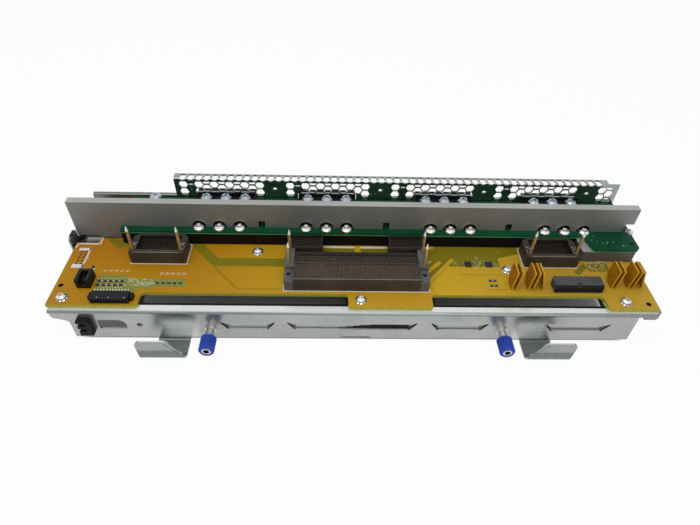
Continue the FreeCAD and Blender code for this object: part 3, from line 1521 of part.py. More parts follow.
resistor_places = [
    (resistor_first_x + step * s.resistor_pitch, row)
    for row in (s.resistor_row_1, s.resistor_row_2) for step in range(5)
]
resistor_places.append((small_chip_x, s.small_chip_depth))
endwise_places = [(resistor_third_x + step * s.resistor_pitch, s.resistor_third_row) for step in range(5)]
resistors = [chip_block("resistor", x, y) for x, y in resistor_places]
resistors += [chip_block("resistor", x, y, endwise=True) for x, y in endwise_places]
together("chip_resistors", resistors)
together("chip_capacitors", [
    chip_block("capacitor", capacitor_x + step * s.capacitor_pitch, row)
    for row in (s.capacitor_row_1, s.capacitor_row_2) for step in (0, 1)
])

# Supply connectors: black housings that straddle the midplane's rear edge and open to the rear,
# each with a foot on the midplane under three screws
supply_depth = rear_reach - s.supply_front
for number, middle in enumerate(trios, start=1):
    label = f"supply_connector_{number}"
    body = new_body(label, middle, s.supply_front, supply_bottom)
    half = s.supply_length / 2
    height = s.supply_below + s.midplane_thickness + s.supply_above
    profile = sketch_on(body, "YZ_Plane")
    board_end = s.midplane_rear - s.supply_front
    foot_top = s.supply_below + s.midplane_thickness + s.supply_foot
    outline(profile, [
        (ZERO, ZERO),
        (supply_depth, ZERO),
        (supply_depth, height),
        (s.supply_neck, height),
        (s.supply_neck, foot_top),
        (-s.supply_foot_reach, foot_top),
        (-s.supply_foot_reach, s.supply_below + s.midplane_thickness),
        (board_end, s.supply_below + s.midplane_thickness),
        (board_end, s.supply_below),
        (ZERO, s.supply_below),
    ])
    pad(body, profile, s.supply_length, both_ways=True)
    dress(body, "Chamfer", s.supply_bevel, "X", [(supply_depth, height), (supply_depth, ZERO)])
    foot_holes = sketch_on(body, "XY_Plane", foot_top)
    for step in (-1, 0, 1):
        circle(foot_holes, step * s.trio_pitch, s.rear_row - s.supply_front, s.clearance_hole)
    pocket(body, foot_holes, s.supply_foot)
    mouth = sketch_on(body, "XZ_Plane", -supply_depth)
    inner = half - s.supply_wall
    slot_foot = (height - s.supply_slot) / 2
    rectangle(mouth, -inner, slot_foot, inner, slot_foot + s.supply_slot)
    pocket(body, mouth, s.supply_slot_depth, reverse=True)
    node(body, label)

# Cable clip: a small black plastic clip with two mouths open to the left, its peg through the flange
clip = new_body("cable_clip", clip_x, -s.flange_proud, -s.clip_drop - s.clip_height)
half = s.clip_width / 2
clip_front = sketch_on(clip, "XZ_Plane")
spine = half - 2 * s.clip_wall
upper_mouth = s.clip_height - s.clip_prong
lower_mouth = upper_mouth - s.clip_mouth - s.clip_prong
outline(clip_front, [
    (half, ZERO),
    (half, s.clip_height),
    (-half, s.clip_height),
    (-half, upper_mouth),
    (spine, upper_mouth),
    (spine, upper_mouth - s.clip_mouth),
    (-half, upper_mouth - s.clip_mouth),
    (-half, lower_mouth),
    (spine, lower_mouth),
    (spine, lower_mouth - s.clip_mouth),
    (-half, lower_mouth - s.clip_mouth),
    (-half, ZERO),
])
pad(clip, clip_front, s.clip_reach)
dress(clip, "Fillet", s.clip_round, "Y", [(half, s.clip_height)])
peg = sketch_on(clip, "XZ_Plane")
circle(peg, ZERO, s.clip_height / 2, s.clip_peg)
pad(clip, peg, 2 * s.sheet_gauge, reverse=True)
node(clip, "cable_clip")

# Captive thumbscrews: heights along the screw's own axis count from the front face of the flange, inward
knob_back = -s.ferrule_reach
knob_front = knob_back - s.knob_length
ferrule_end = s.sheet_gauge + s.ferrule_stake_height
ring_front = ferrule_end + s.ring_gap
thread_start = ring_front + s.ring_height + s.ring_fit
knob_floor = knob_back - s.knob_bore_depth
head_face = knob_front + s.thumb_head_sink
for side, word in ((-1, "left"), (1, "right")):
    axis = (side * s.thumb_x, -s.flange_proud, -s.thumb_drop)
    # Ferrule: a turned sleeve pressed and staked into the flange
    ferrule = turned(f"{word}_ferrule", [
        (s.ferrule_bore / 2, -s.ferrule_reach),
        (s.ferrule_width / 2, -s.ferrule_reach),
        (s.ferrule_width / 2, -s.ferrule_collar_height),
        (s.ferrule_collar / 2, -s.ferrule_collar_height),
        (s.ferrule_collar / 2, ZERO),
        (s.ferrule_width / 2, ZERO),
        (s.ferrule_width / 2, s.sheet_gauge),
        (s.ferrule_stake / 2, s.sheet_gauge),
        (s.ferrule_stake / 2, ferrule_end),
        (s.ferrule_lip_bore / 2, ferrule_end),
        (s.ferrule_lip_bore / 2, ferrule_end - s.ferrule_lip),
        (s.ferrule_bore / 2, ferrule_end - s.ferrule_lip),
    ], *axis, along_y=True)
    node(ferrule, f"{word}_ferrule")
    # Knob: blue moulded grip with a fluted side, bored out to slide over the ferrule
    half = s.knob_width / 2
    knob = turned(f"{word}_knob", [
        (s.neck_width / 2, knob_floor),
        (s.neck_width / 2, head_face + s.thumb_head_height),
        (s.thumb_head / 2, head_face + s.thumb_head_height),
        (s.thumb_head / 2, knob_front),
        (half - s.knob_edge, knob_front),
        (half, knob_front + s.knob_edge),
        (half, knob_back - s.knob_edge / 2),
        (half - s.knob_edge / 2, knob_back),
        (s.ferrule_width / 2 + s.knob_fit, knob_back),
        (s.ferrule_width / 2 + s.knob_fit, knob_floor),
    ], *axis, along_y=True)
    flute = sketch_on(knob, "XY_Plane", knob_back - 2 * s.knob_edge)
    circle(flute, half, ZERO, s.flute_width)
    groove = pocket(knob, flute, s.knob_length - 4 * s.knob_edge)
    flutes = knob.newObject("PartDesign::PolarPattern", f"{word}_flutes")
    flutes.Originals = [groove]
    flutes.Axis = (flute, ["N_Axis"])
    flutes.Angle = 360
    flutes.Occurrences = int(s.flute_count.value)
    knob.Tip = flutes
    doc.recompute()
    node(knob, f"{word}_knob")
    # Screw: a socket head in the knob, a thin neck and a threaded end behind the flange
    screw = turned(f"{word}_screw", [
        (ZERO, head_face + s.thumb_socket_depth),
        (s.thumb_socket / 2, head_face + s.thumb_socket_depth),
        (s.thumb_socket / 2, head_face),
        (s.thumb_head / 2, head_face),
        (s.thumb_head / 2, head_face + s.thumb_head_height),
        (s.neck_width / 2, head_face + s.thumb_head_height),
        (s.neck_width / 2, thread_start),
        (s.thread_width / 2, thread_start),
        (s.thread_width / 2, thread_start + s.thread_length - s.thread_point),
        (s.thread_width / 2 - s.thread_point, thread_start + s.thread_length),
        (ZERO, thread_start + s.thread_length),
    ], *axis, along_y=True)
    node(screw, f"{word}_screw")
    # Retaining ring: rides on the neck between the ferrule and the thread
    ring = turned(f"{word}_retaining_ring", [
        (s.neck_width / 2 + s.ring_fit, ring_front),
        (s.ring_width / 2, ring_front),
        (s.ring_width / 2, ring_front + s.ring_height),
        (s.neck_width / 2 + s.ring_fit, ring_front + s.ring_height),
    ], *axis, along_y=True)
    node(ring, f"{word}_retaining_ring")
    # Spring: open coil round the neck, between the ferrule's lip and the bottom of the knob's bore
    wire = s.spring_wire.value
    coil_radius = (s.neck_width.value + s.ferrule_bore.value) / 4
    coil_length = ferrule_end.value - s.ferrule_lip.value - knob_floor.value - wire
    pitch = coil_length / s.spring_turns.value
    helix = Part.makeHelix(pitch, coil_length, coil_radius)
    corner = wire / 2
    square = [(corner, 0), (0, corner), (-corner, 0), (0, -corner)]
    points = [FreeCAD.Vector(coil_radius + a, 0, b) for a, b in square]
    section = Part.makePolygon(points + points[:1])
    coil = Part.Wire(helix).makePipeShell([section], True, True)
    spring = doc.addObject("Part::Feature", f"{word}_spring")
    spring.Shape = coil
    turn = FreeCAD.Rotation(FreeCAD.Vector(1, 0, 0), -90)
    spring.Placement = FreeCAD.Placement(FreeCAD.Vector(), turn)
    place(spring, axis[0], axis[1] + knob_floor + s.spring_wire / 2, axis[2])
    node(spring, f"{word}_spring")

# Check every object, then write one file for each piece
doc.recompute()
for item in doc.Objects:
    if "Invalid" in item.State or "Error" in item.State:
        raise RuntimeError(f"{item.Label} failed: {item.State}")
for piece in pieces:
    if piece.Shape.isNull() or not piece.Shape.isValid() or not piece.Shape.Solids:
        raise RuntimeError(f"{piece.Label} has no valid solid")
os.makedirs("parts", exist_ok=True)
for piece in pieces:
    piece.Shape.exportStep(f"parts/{piece.Label}.step")
print(len(pieces), "pieces written")
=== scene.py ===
import math
import random

import bmesh
import bpy
from mathutils import Matrix, Vector


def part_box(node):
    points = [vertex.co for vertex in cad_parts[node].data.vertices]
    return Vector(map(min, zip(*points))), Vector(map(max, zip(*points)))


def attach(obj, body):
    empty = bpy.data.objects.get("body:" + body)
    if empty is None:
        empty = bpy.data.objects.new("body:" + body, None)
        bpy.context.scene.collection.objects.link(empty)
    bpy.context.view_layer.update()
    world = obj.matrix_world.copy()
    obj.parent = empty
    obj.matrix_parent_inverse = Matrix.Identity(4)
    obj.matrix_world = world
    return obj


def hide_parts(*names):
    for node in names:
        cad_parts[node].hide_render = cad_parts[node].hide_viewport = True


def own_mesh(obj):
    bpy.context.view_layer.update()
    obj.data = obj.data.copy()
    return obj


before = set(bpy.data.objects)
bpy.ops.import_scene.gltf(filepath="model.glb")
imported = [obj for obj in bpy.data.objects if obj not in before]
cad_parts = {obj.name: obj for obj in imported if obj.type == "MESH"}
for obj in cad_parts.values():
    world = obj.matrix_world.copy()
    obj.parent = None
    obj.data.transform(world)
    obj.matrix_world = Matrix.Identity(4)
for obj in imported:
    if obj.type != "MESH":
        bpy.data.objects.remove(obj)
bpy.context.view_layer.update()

# Camera
# A compact camera held in front of the boards and above them, tipped down by about 44 degrees.
# Its focal length is given in pixels of a picture 700 wide.
MM = 0.001
picture_width = 700.0
focal_pixels = 536.83
sensor_width = 36.0
tip_down = 0.764106
swing = 0.0460466
lean = 0.0424733
nearest_seen = 0.01
stand_point = Vector((-18.796, -294.466, 315.692)) * MM
level_to_tipped = Matrix.Rotation(tip_down + math.pi / 2, 3, "X")
world_to_view = Matrix.Rotation(lean, 3, "Z") @ level_to_tipped @ Matrix.Rotation(swing, 3, "Z")
view_axes = Matrix.Diagonal((1.0, -1.0, -1.0)) @ world_to_view
camera_data = bpy.data.cameras.new("camera")
camera_data.sensor_fit = "HORIZONTAL"
camera_data.sensor_width = sensor_width
camera_data.lens = sensor_width * focal_pixels / picture_width
camera_data.clip_start = nearest_seen
camera = bpy.data.objects.new("camera", camera_data)
camera.matrix_world = Matrix.Translation(stand_point) @ view_axes.transposed().to_4x4()
scene = bpy.context.scene
scene.collection.objects.link(camera)
scene.camera = camera

# Floor and light
# A plain white table top in a light tent: soft light from all round and two broad lamps. The table looks
# white to the lens and in polished metal; under the tray its colour is darkened as painted shadow.
scene.view_settings.view_transform = "Standard"


class Shade:
    """One socket of a node tree. Sums and products of them add Math nodes."""

    def __init__(self, tree, socket=None):
        self.tree = tree
        self.socket = socket

    def add(self, kind, inputs=None, output=0, **settings):
        """Adds a shader node, sets its settings, then its sockets, and returns one of its outputs."""
        made = self.tree.nodes.new("ShaderNode" + kind)
        for name, value in settings.items():
            setattr(made, name, value)
        for name, value in (inputs or {}).items():
            if isinstance(value, Shade):
                self.tree.links.new(value.socket, made.inputs[name])
            else:
                made.inputs[name].default_value = value
        return Shade(self.tree, made.outputs[output] if len(made.outputs) else None)

    def math(self, operation, first, second=0.0):
        return self.add("Math", {0: first, 1: second}, operation=operation)

    def __add__(self, other):
        return self.math("ADD", self, other)

    __radd__ = __add__

    def __sub__(self, other):
        return self.math("SUBTRACT", self, other)

    def __rsub__(self, other):
        return self.math("SUBTRACT", other, self)

    def __mul__(self, other):
        return self.math("MULTIPLY", self, other)

    __rmul__ = __mul__

    def __gt__(self, limit):
        return self.math("GREATER_THAN", self, limit)

    def __lt__(self, limit):
        return self.math("LESS_THAN", self, limit)

    def __or__(self, other):
        return self.math("MAXIMUM", self, other)

    def __abs__(self):
        return self.math("ABSOLUTE", self)

    def spot(self):
        """The place on the piece, in its own coordinates."""
        return self.add("TexCoord", output="Object")

    def facing(self):
        """The direction in which the surface looks."""
        return self.add("TexCoord", output="Normal")

    def axis(self, name):
        """One part of a vector."""
        return self.add("SeparateXYZ", {0: self}, name)

    def rise(self, low, high):
        """From 0 at low to 1 at high, smoothly."""
        span = {"Value": self, "From Min": low, "From Max": high}
        return self.add("MapRange", span, interpolation_type="SMOOTHSTEP")

    def tint(self, first, second):
        """A colour from first, where this is 0, to second, where it is 1."""
        parts = [value if isinstance(value, Shade) else (*value, 1.0) for value in (first, second)]
        return self.add("Mix", {0: self, 6: parts[0], 7: parts[1]}, 2, data_type="RGBA")

    def mottle(self, dark, light, low=0.3, high=0.7):
        """Two colours spread over a noise, between two of its values."""
        return self.rise(low, high).tint(dark, light)


def new_finish(name):
    """An empty material, and the first handle on its node tree."""
    material = bpy.data.materials.new(name)
    material.use_nodes = True
    material.node_tree.nodes.clear()
    return material, Shade(material.node_tree)


white = (1.0, 1.0, 1.0, 1.0)


def white_to_lens(lit, share, glow_kind):
    """Mixes a plain white glow into what the lens, polished metal and clear plastic see."""
    rays = []
    for kind in ("Camera", "Glossy", "Transmission"):
        rays.append(lit.add("LightPath", output=f"Is {kind} Ray"))
    seen = (rays[0] | rays[1] | rays[2]) * share
    glow = lit.add(glow_kind, {"Color": white, "Strength": 1.0})
    return lit.add("MixShader", {0: seen, 1: lit, 2: glow})


tent_light = 0.5
surround = bpy.data.worlds.new("light_tent")
surround.use_nodes = True
surround.node_tree.nodes.clear()
tent = Shade(surround.node_tree)
tent_cloth = tent.add("Background", {"Color": white, "Strength": tent_light})
tent_seen = white_to_lens(tent_cloth, 1.0, "Background")
tent.add("OutputWorld", {"Surface": tent_seen})
scene.world = surround

table_reach = 4.0
table_white = (0.86, 0.86, 0.86)
# Painted shadow: the table's colour under the tray.
table_painted_shadow = (0.7, 0.7, 0.7)
table_glow = 0.94
shade_reach = (0.2, 0.0547)
shade_middle = 0.0073
shade_fade = 0.001
end_fade = 0.008
table_corners = [(-1, -1), (1, -1), (1, 1), (-1, 1)]
table_mesh = bpy.data.meshes.new("table")
table_points = [(x * table_reach, y * table_reach, 0.0) for x, y in table_corners]
table_mesh.from_pydata(table_points, [], [(0, 1, 2, 3)])
table_top, table_paint = new_finish("table_top")
table_spot = table_paint.spot()
table_x = abs(table_spot.axis("X"))
table_y = abs(table_spot.axis("Y") - shade_middle)
table_ends = table_x.rise(shade_reach[0] - end_fade, shade_reach[0] + end_fade / 3)
table_clear = table_ends | table_y.rise(shade_reach[1] - shade_fade, shade_reach[1])
table_colour = table_clear.tint(table_painted_shadow, table_white)
table_cloth = table_paint.add("BsdfDiffuse", {"Color": table_colour})
table_seen = white_to_lens(table_cloth, table_clear * table_glow, "Emission")
table_paint.add("OutputMaterial", {"Surface": table_seen})
table_mesh.materials.append(table_top)
table = bpy.data.objects.new("table", table_mesh)
scene.collection.objects.link(table)
lamp_aim = Vector((0.0, 0.0, 0.03))


def soft_lamp(name, place, width, depth, power):
    """A broad flat lamp at a place, turned to the middle of the boards."""
    data = bpy.data.lights.new(name, "AREA")
    data.shape = "RECTANGLE"
    data.size = width
    data.size_y = depth
    data.energy = power
    lamp = bpy.data.objects.new(name, data)
    facing = (lamp_aim - Vector(place)).to_track_quat("-Z", "Y")
    lamp.matrix_world = Matrix.Translation(Vector(place)) @ facing.to_matrix().to_4x4()
    scene.collection.objects.link(lamp)


soft_lamp("overhead_lamp", (-0.15, -0.2, 0.95), width=1.0, depth=0.7, power=4.6)
soft_lamp("front_lamp", (0.25, -1.0, 0.55), width=0.7, depth=0.5, power=1.8)

# Carrier tray
# One sheet of galvanised steel, cut, lanced and folded: a top plate, a deep front flange, two hand
# tongues and a small ear at the left. Low ridges are pressed into the tongues' pads.
# Painted light and shade on the tray: a ledge highlight, handle reflections, shade on folds, tabs and nook.
upright = 0.9
level_range = (0.9, 0.99)
fold_tip = 0.12
fold_lean = (0.05, 0.3)
fold_shade = 0.7
ledge_rear = -0.03
ledge_highlight_share = 0.65
ledge_metal_drop = 0.45
shelter_shade = 0.6
flange_front = -48.4 * MM
flange_slack = 0.0005
reflection_middle = 0.1265
reflection_width = (0.007, 0.016)
reflection_foot = (0.0, 0.006)
reflection_top = (0.017, 0.028)
reflection_share = 0.8
reflection_metal_drop = 0.7
nook_left = (-0.213, -0.2105)
nook_front = (0.0285, 0.0295)
nook_rear = (0.032, 0.036)
lance_lean = -0.1
lance_foot = (0.0125, 0.0175)
lance_shade = 0.95
trough_front = -0.0486
trough_top = 0.009
trough_lean = 0.3
trough_face = 0.25
# Colours of the tray's painted highlight, painted shade and painted shadow in the nook.
painted_highlight_zinc = (0.86, 0.88, 0.86)
painted_shade_zinc = (0.15, 0.17, 0.166)
nook_shadow_colour = (0.012, 0.012, 0.014)


def grain(shade, scale, stretch=(1.0, 1.0, 1.0), detail=2.0):
    """Fine noise in the piece's own coordinates. Scale is in grains for each metre."""
    size = [scale * share for share in stretch]
    fine = shade.add("Mapping", {"Vector": shade.spot(), "Scale": size})
    return shade.add("TexNoise", {"Vector": fine, "Scale": 1.0, "Detail": detail})


def close_finish(shade, values, height=None, depth=0.0):
    """Ends a material in one shader, with a bump of that depth in metres."""
    if height is not None:
        bump = {"Height": height, "Distance": depth, "Strength": 1.0}
        values["Normal"] = shade.add("Bump", bump)
    shader = shade.add("BsdfPrincipled", values)
    shade.add("OutputMaterial", {"Surface": shader})


def sheet_zinc(name, dark, light, rough, metal, painted_light_share=0.0):
    """Zinc-coated steel with faint crystal patches, rolling marks along the sheet and small scuffs.
    The painted light share sets a painted ledge highlight, painted handle reflections and painted shade."""
    material, shade = new_finish(name)
    spot = shade.spot()
    x, y, z = [spot.axis(letter) for letter in "XYZ"]
    upward = shade.facing().axis("Z")
    forward = 0.0 - shade.facing().axis("Y")
    level = upward.rise(*level_range)
    in_front = forward > upright
    fold = (upward > fold_tip) * forward.rise(*fold_lean)
    # Painted highlight on the front ledge, and a painted reflection of each handle on the flange.
    ledge = level * (y < ledge_rear)
    reflection_x = 1 - abs(abs(x) - reflection_middle).rise(*reflection_width)
    reflection_z = z.rise(*reflection_foot) * (1 - z.rise(*reflection_top))
    handle_reflection = reflection_x * reflection_z * in_front * (abs(y - flange_front) < flange_slack)
    painted_highlight = (ledge * ledge_highlight_share | handle_reflection * reflection_share) * painted_light_share
    # Painted shade on the plate behind the flange, in the nook at the ear and on the lanced tabs.
    sheltered = level * (y > 0.0)
    nook_shadow = sheltered * ((1 - x.rise(*nook_left)) | y.rise(*nook_front))
    nook_shadow = nook_shadow * (1 - y.rise(*nook_rear))
    lanced = in_front * (upward < lance_lean) * (1 - z.rise(*lance_foot))
    painted_shade = (fold * fold_shade | sheltered * shelter_shade | lanced * lance_shade) * painted_light_share
    # Painted shade in the tongues' troughs, whatever the share.
    low_bend = (z < trough_top) * (upward > trough_lean)
    trough_shade = (y < trough_front) * (low_bend | in_front * trough_face)
    crystal = shade.add("TexVoronoi", {"Vector": spot, "Scale": 260.0}, "Color")
    patch = shade.add("SeparateColor", {"Color": crystal})
    rolled = grain(shade, 2600.0, (0.03, 1.0, 1.0))
    cloud = grain(shade, 30.0, detail=3.0)
    tone = patch * 0.05 + rolled * 0.35 + cloud * 0.6
    scuff = grain(shade, 900.0, (0.25, 1.0, 1.0), 4.0).rise(0.62, 0.78)
    sheet = painted_highlight.tint(tone.mottle(dark, light), painted_highlight_zinc)
    close_finish(shade, {
        "Base Color": (nook_shadow * painted_light_share).tint((trough_shade | painted_shade).tint(sheet, painted_shade_zinc), nook_shadow_colour),
        "Metallic": metal * (1 - (handle_reflection * reflection_metal_drop | ledge * ledge_metal_drop) * painted_light_share),
        "Roughness": rough + tone * 0.12 + scuff * 0.1,
    }, rolled * 0.7 + scuff * 0.3, 0.00001)
    return material


def dress(material, *names):
    """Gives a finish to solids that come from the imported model."""
    for name in names:
        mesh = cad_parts[name].data
        mesh.materials.clear()
        mesh.materials.append(material)


# The tray takes the whole share of its painted light and shade.
tray_zinc = sheet_zinc(
    "galvanised_sheet", (0.33, 0.345, 0.335), (0.43, 0.445, 0.43), rough=0.21, metal=0.86, painted_light_share=1.0)
dress(tray_zinc, "carrier_tray")


def kept_mesh(bm, name):
    """Keeps what was built as a mesh."""
    mesh = bpy.data.meshes.new(name)
    bm.to_mesh(mesh)
    bm.free()
    return mesh


def straight_boxes(name, lines, base, height):
    """A mesh of low bars, one along each line (start, end, width) in mm. Base is their foot in metres."""
    bm = bmesh.new()
    for start, end, width in lines:
        run = Vector(end) - Vector(start)
        middle = (Vector(start) + Vector(end)) / 2
        size = Matrix.Diagonal((run.length * MM, width * MM, height * MM, 1.0))
        turn = Matrix.Rotation(math.atan2(run.y, run.x), 4, "Z")
        place = Matrix.Translation((middle.x * MM, middle.y * MM, base + height * MM / 2))
        bmesh.ops.create_cube(bm, size=1.0, matrix=place @ turn @ size)
    return kept_mesh(bm, name)


def stand_up(mesh, foot, up):
    """Turns a flat mesh until its Y runs along up, and puts its origin at foot, in metres."""
    across = Vector((1.0, 0.0, 0.0))
    upward = Vector(up).normalized()
    axes = Matrix((across, upward, across.cross(upward))).transposed()
    mesh.transform(Matrix.Translation(foot) @ axes.to_4x4())
    return mesh


def new_piece(mesh, material, body="frame"):
    """Puts a finished mesh in the scene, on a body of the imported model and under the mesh's name."""
    piece = bpy.data.objects.new(mesh.name, mesh)
    scene.collection.objects.link(piece)
    mesh.materials.clear()
    mesh.materials.append(material)
    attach(piece, body)
    return piece


pad_foot = (0.0, -67.9 * MM, 0.0)
pad_up = (0.0, -2.6, 25.4)
edge_ridge = 0.8
inner_ridge = 0.6
ridge_height = 0.3
ridge_sunk = 0.05
pad_lines = [
    ((131.8, 22.4), (146.6, 22.4), edge_ridge),
    ((124.6, 10.0), (131.8, 22.4), edge_ridge),
    ((146.6, 22.4), (149.2, 20.0), edge_ridge),
    ((132.6, 10.0), (140.0, 10.0), inner_ridge),
    ((132.6, 16.4), (140.0, 16.4), inner_ridge),
    ((132.6, 10.0), (132.6, 16.4), inner_ridge),
    ((140.0, 10.0), (140.0, 16.4), inner_ridge),
]
pad_lines += [((-start[0], start[1]), (-end[0], end[1]), width) for start, end, width in pad_lines]
pad_ridges = straight_boxes("pad_ridges", pad_lines, -ridge_sunk * MM, ridge_height)
new_piece(stand_up(pad_ridges, pad_foot, pad_up), tray_zinc)

# Tray openings
# The tabs lanced out of the flange have near-black strips as painted shade in the mouths at their ends
# and along the gap of the long one. Near-black strips at the plate's slots and a near-black block in the
# nook at the ear are painted shade too.
# Near-black for painted shade on the faces of mouldings that look forward.
front_shade_black = (0.002, 0.002, 0.002)


def moulded(name, dark, light, rough, grit=1400.0, depth=0.00002, shine=0.5, front=0.0):
    """Moulded plastic with a fine spark-eroded skin and faint flow clouds. Front: painted shade on fronts."""
    material, shade = new_finish(name)
    skin = grain(shade, grit, detail=3.0)
    cloud = grain(shade, 60.0)
    forward = 0.0 - shade.facing().axis("Y")
    # Painted shade on the faces that look forward, by the share front.
    skin_colour = (skin * 0.6 + cloud * 0.4).mottle(dark, light, 0.32, 0.68)
    close_finish(shade, {
        "Base Color": (forward.rise(0.5, 0.8) * front).tint(skin_colour, front_shade_black),
        "Roughness": rough + skin * 0.16,
        "Specular IOR Level": shine,
    }, skin, depth)
    return material


# Near-black for the painted shade pieces that follow.
dark_gap = moulded("dark_gap", (0.004, 0.004, 0.004), (0.012, 0.012, 0.012), rough=0.6, shine=0.1)
# Painted shade: near-black strips in the mouths at the ends of the lanced tabs.
tab_ends = [(-98.0, -59.0), (-50.4, 42.8), (52.9, 94.4), (135.8, 183.6)]
tab_top = 19.6
tab_foot = 12.6
tab_taper = 5.6
mouth_inset = 0.2
mouth_width = 0.9
mouth_sunk = 0.3
mouth_height = 0.34
mouth_lines = []
for tab_left, tab_right in tab_ends:
    for tab_end, inward in ((tab_left, 1), (tab_right, -1)):
        mouth_start = (tab_end + inward * mouth_inset, tab_top)
        mouth_lines.append((mouth_start, (tab_end + inward * tab_taper, tab_foot), mouth_width))
mouths = straight_boxes("tab_mouths", mouth_lines, -mouth_sunk * MM, mouth_height)
new_piece(stand_up(mouths, (0.0, flange_front, 0.0), (0.0, 0.0, 1.0)), dark_gap)
# Painted shade: a near-black strip along the long tab's gap.
tab_lip = Vector((0.0, -46.9, 12.8)) * MM
tab_up = (0.0, -1.5, 7.0)
gap_sunk = 0.2
gap_height = 0.25
gap_runs = [(-14.0, -8.0, 1.0), (-8.0, -3.0, 2.2), (-3.0, 2.0, 3.4), (2.0, 9.0, 4.4), (9.0, 37.0, 5.2)]
gap_lines = [((start, width / 2), (end, width / 2), width) for start, end, width in gap_runs]
tab_gap = straight_boxes("tab_gap", gap_lines, -gap_sunk * MM, gap_height)
new_piece(stand_up(tab_gap, tab_lip, tab_up), dark_gap)
board_low, board_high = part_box("power_board")
tray_top = board_low.z
# Painted shade: near-black strips at the slots' ends and along their edges.
shade_strip_thick = 0.06
shade_strip_width = 2.4
shade_strip_front = -39.9
shade_strip_rear = -32.7
strip_width = 2.0
strip_y = -40.9
shade_strip_lines = [((x, shade_strip_front), (x, shade_strip_rear), shade_strip_width) for x in (-152.8, -8.2, 54.2, 177.1)]
for strip_left, strip_right in ((-154.0, -7.0), (53.0, 178.9)):
    shade_strip_lines.append(((strip_left, strip_y), (strip_right, strip_y), strip_width))
new_piece(straight_boxes("slot_films", shade_strip_lines, tray_top, shade_strip_thick), dark_gap)
# Painted shade: a near-black block filling the nook at the ear.
nook_block_line = [((-218.9, 33.6), (-215.0, 33.6), 12.9)]
nook_block_sunk = 2.4
nook_block_height = 3.6
nook_shade_block = straight_boxes("ear_foam", nook_block_line, tray_top - nook_block_sunk * MM, nook_block_height)
new_piece(nook_shade_block, dark_gap)

# Guide block and cable clip
# A small pale moulded block under the board's right end guides the tray into its slot. A black
# nylon clip with two open mouths snaps into the front flange and holds cables.
dress(moulded("pale_moulding", (0.22, 0.22, 0.2), (0.32, 0.32, 0.3), rough=0.42), "guide_block")
black_nylon = moulded("black_nylon", (0.003, 0.003, 0.0035), (0.011, 0.011, 0.012), rough=0.45, shine=0.12)
dress(black_nylon, "cable_clip")

# Rear rail and its rivets
# A second folded strip of the same sheet closes the tray at the back. Small round-headed rivets join
# it to the tray and carry the screen.
# The tray's sheet, coloured darker as painted shade.
shaded_rail_zinc = sheet_zinc("rail_sheet", (0.125, 0.134, 0.132), (0.19, 0.203, 0.2), rough=0.2, metal=0.86)
dress(shaded_rail_zinc, "rear_rail")


def turned_metal(name, dark, light, rough):
    """Plated turned parts: bright, with fine tool marks and a few dull spots."""
    material, shade = new_finish(name)
    marks = grain(shade, 5200.0, (0.3, 0.3, 1.0))
    spots = grain(shade, 700.0, detail=4.0)
    close_finish(shade, {
        "Base Color": (marks * 0.5 + spots * 0.5).mottle(dark, light),
        "Metallic": 1.0,
        "Roughness": rough + spots * 0.16,
    }, marks, 0.00001)
    return material


rivet_zinc = turned_metal("rivet_zinc", (0.42, 0.43, 0.42), (0.62, 0.63, 0.62), rough=0.22)
dress(rivet_zinc, "rail_rivets", "screen_rivets")

# Air screen
# A light angle of zinc-coated steel, punched all over with six-sided holes so that air can pass.
# Its lower edge is riveted to the rail, and its top edge folds back.
screen_zinc = sheet_zinc("screen_sheet", (0.27, 0.295, 0.28), (0.37, 0.395, 0.38), rough=0.06, metal=0.95)
dress(screen_zinc, "honeycomb_screen")

# Power board
# A thick laminate board with a yellow-ochre mask over wide copper areas. Olive bands and fields are
# laminate with no copper under the mask, and the routed edge is bare laminate.
board_top = board_high.z
ochre_left = (0.425, 0.213, 0.006)
ochre_middle = (0.585, 0.362, 0.016)
ochre_right = (0.475, 0.296, 0.026)
ochre_deep = (0.4, 0.158, 0.005)
ochre_front = (0.49, 0.27, 0.018)
ochre_wear = (0.86, 0.83, 0.8, 1.0)
olive_mask = (0.168, 0.14, 0.006)
pale_mask = (0.19, 0.205, 0.036)
board_edge = (0.44, 0.41, 0.055)
hole_wall_shade = (0.012, 0.008, 0.004)
left_fade = (-0.15, 0.0)
right_fade = (0.04, 0.16)
deep_fade_y = (-0.03, 0.015)
deep_fade_x = (-0.14, -0.02)
front_rear = -0.031
front_middle = 0.023
front_half = 0.034
olive_bands = [
    ((-126.0, 21.2), (-105.4, -2.2), 7.5),
    ((-107.2, -0.8), (-53.0, -0.6), 8.8),
    ((-107.0, -5.5), (-86.8, -28.5), 0.9),
    ((-87.0, -28.4), (-53.0, -28.3), 0.8),
    ((-183.0, 19.0), (-168.0, 19.0), 8.4),
    ((-193.0, 27.0), (-180.2, 14.0), 6.0),
    ((54.5, 11.0), (109.5, 11.0), 16.8),
    ((70.5, 0.0), (109.5, 0.0), 6.4),
    ((109.0, 16.4), (128.0, 16.4), 6.4),
    ((105.0, 8.0), (126.5, 14.6), 5.6),
    ((50.6, -15.6), (70.0, 7.6), 12.4),
    ((177.0, -2.3), (193.6, -2.3), 9.6),
    ((166.4, -9.4), (177.0, -0.2), 4.6),
    ((-26.0, 13.6), (24.5, 13.6), 5.2),
    ((78.0, -11.6), (111.0, -11.6), 0.5),
    ((94.0, -27.4), (110.0, -26.8), 0.6),
    ((135.0, -29.6), (146.0, -30.0), 0.5),
]
ochre_bands = [
    ((52.0, -10.2), (64.2, 2.0), 3.0),
    ((51.0, -21.8), (74.2, 5.2), 2.6),
    ((52.5, 16.6), (60.5, 19.4), 5.0),
    ((-1.2, 13.6), (3.2, 13.6), 5.4),
]
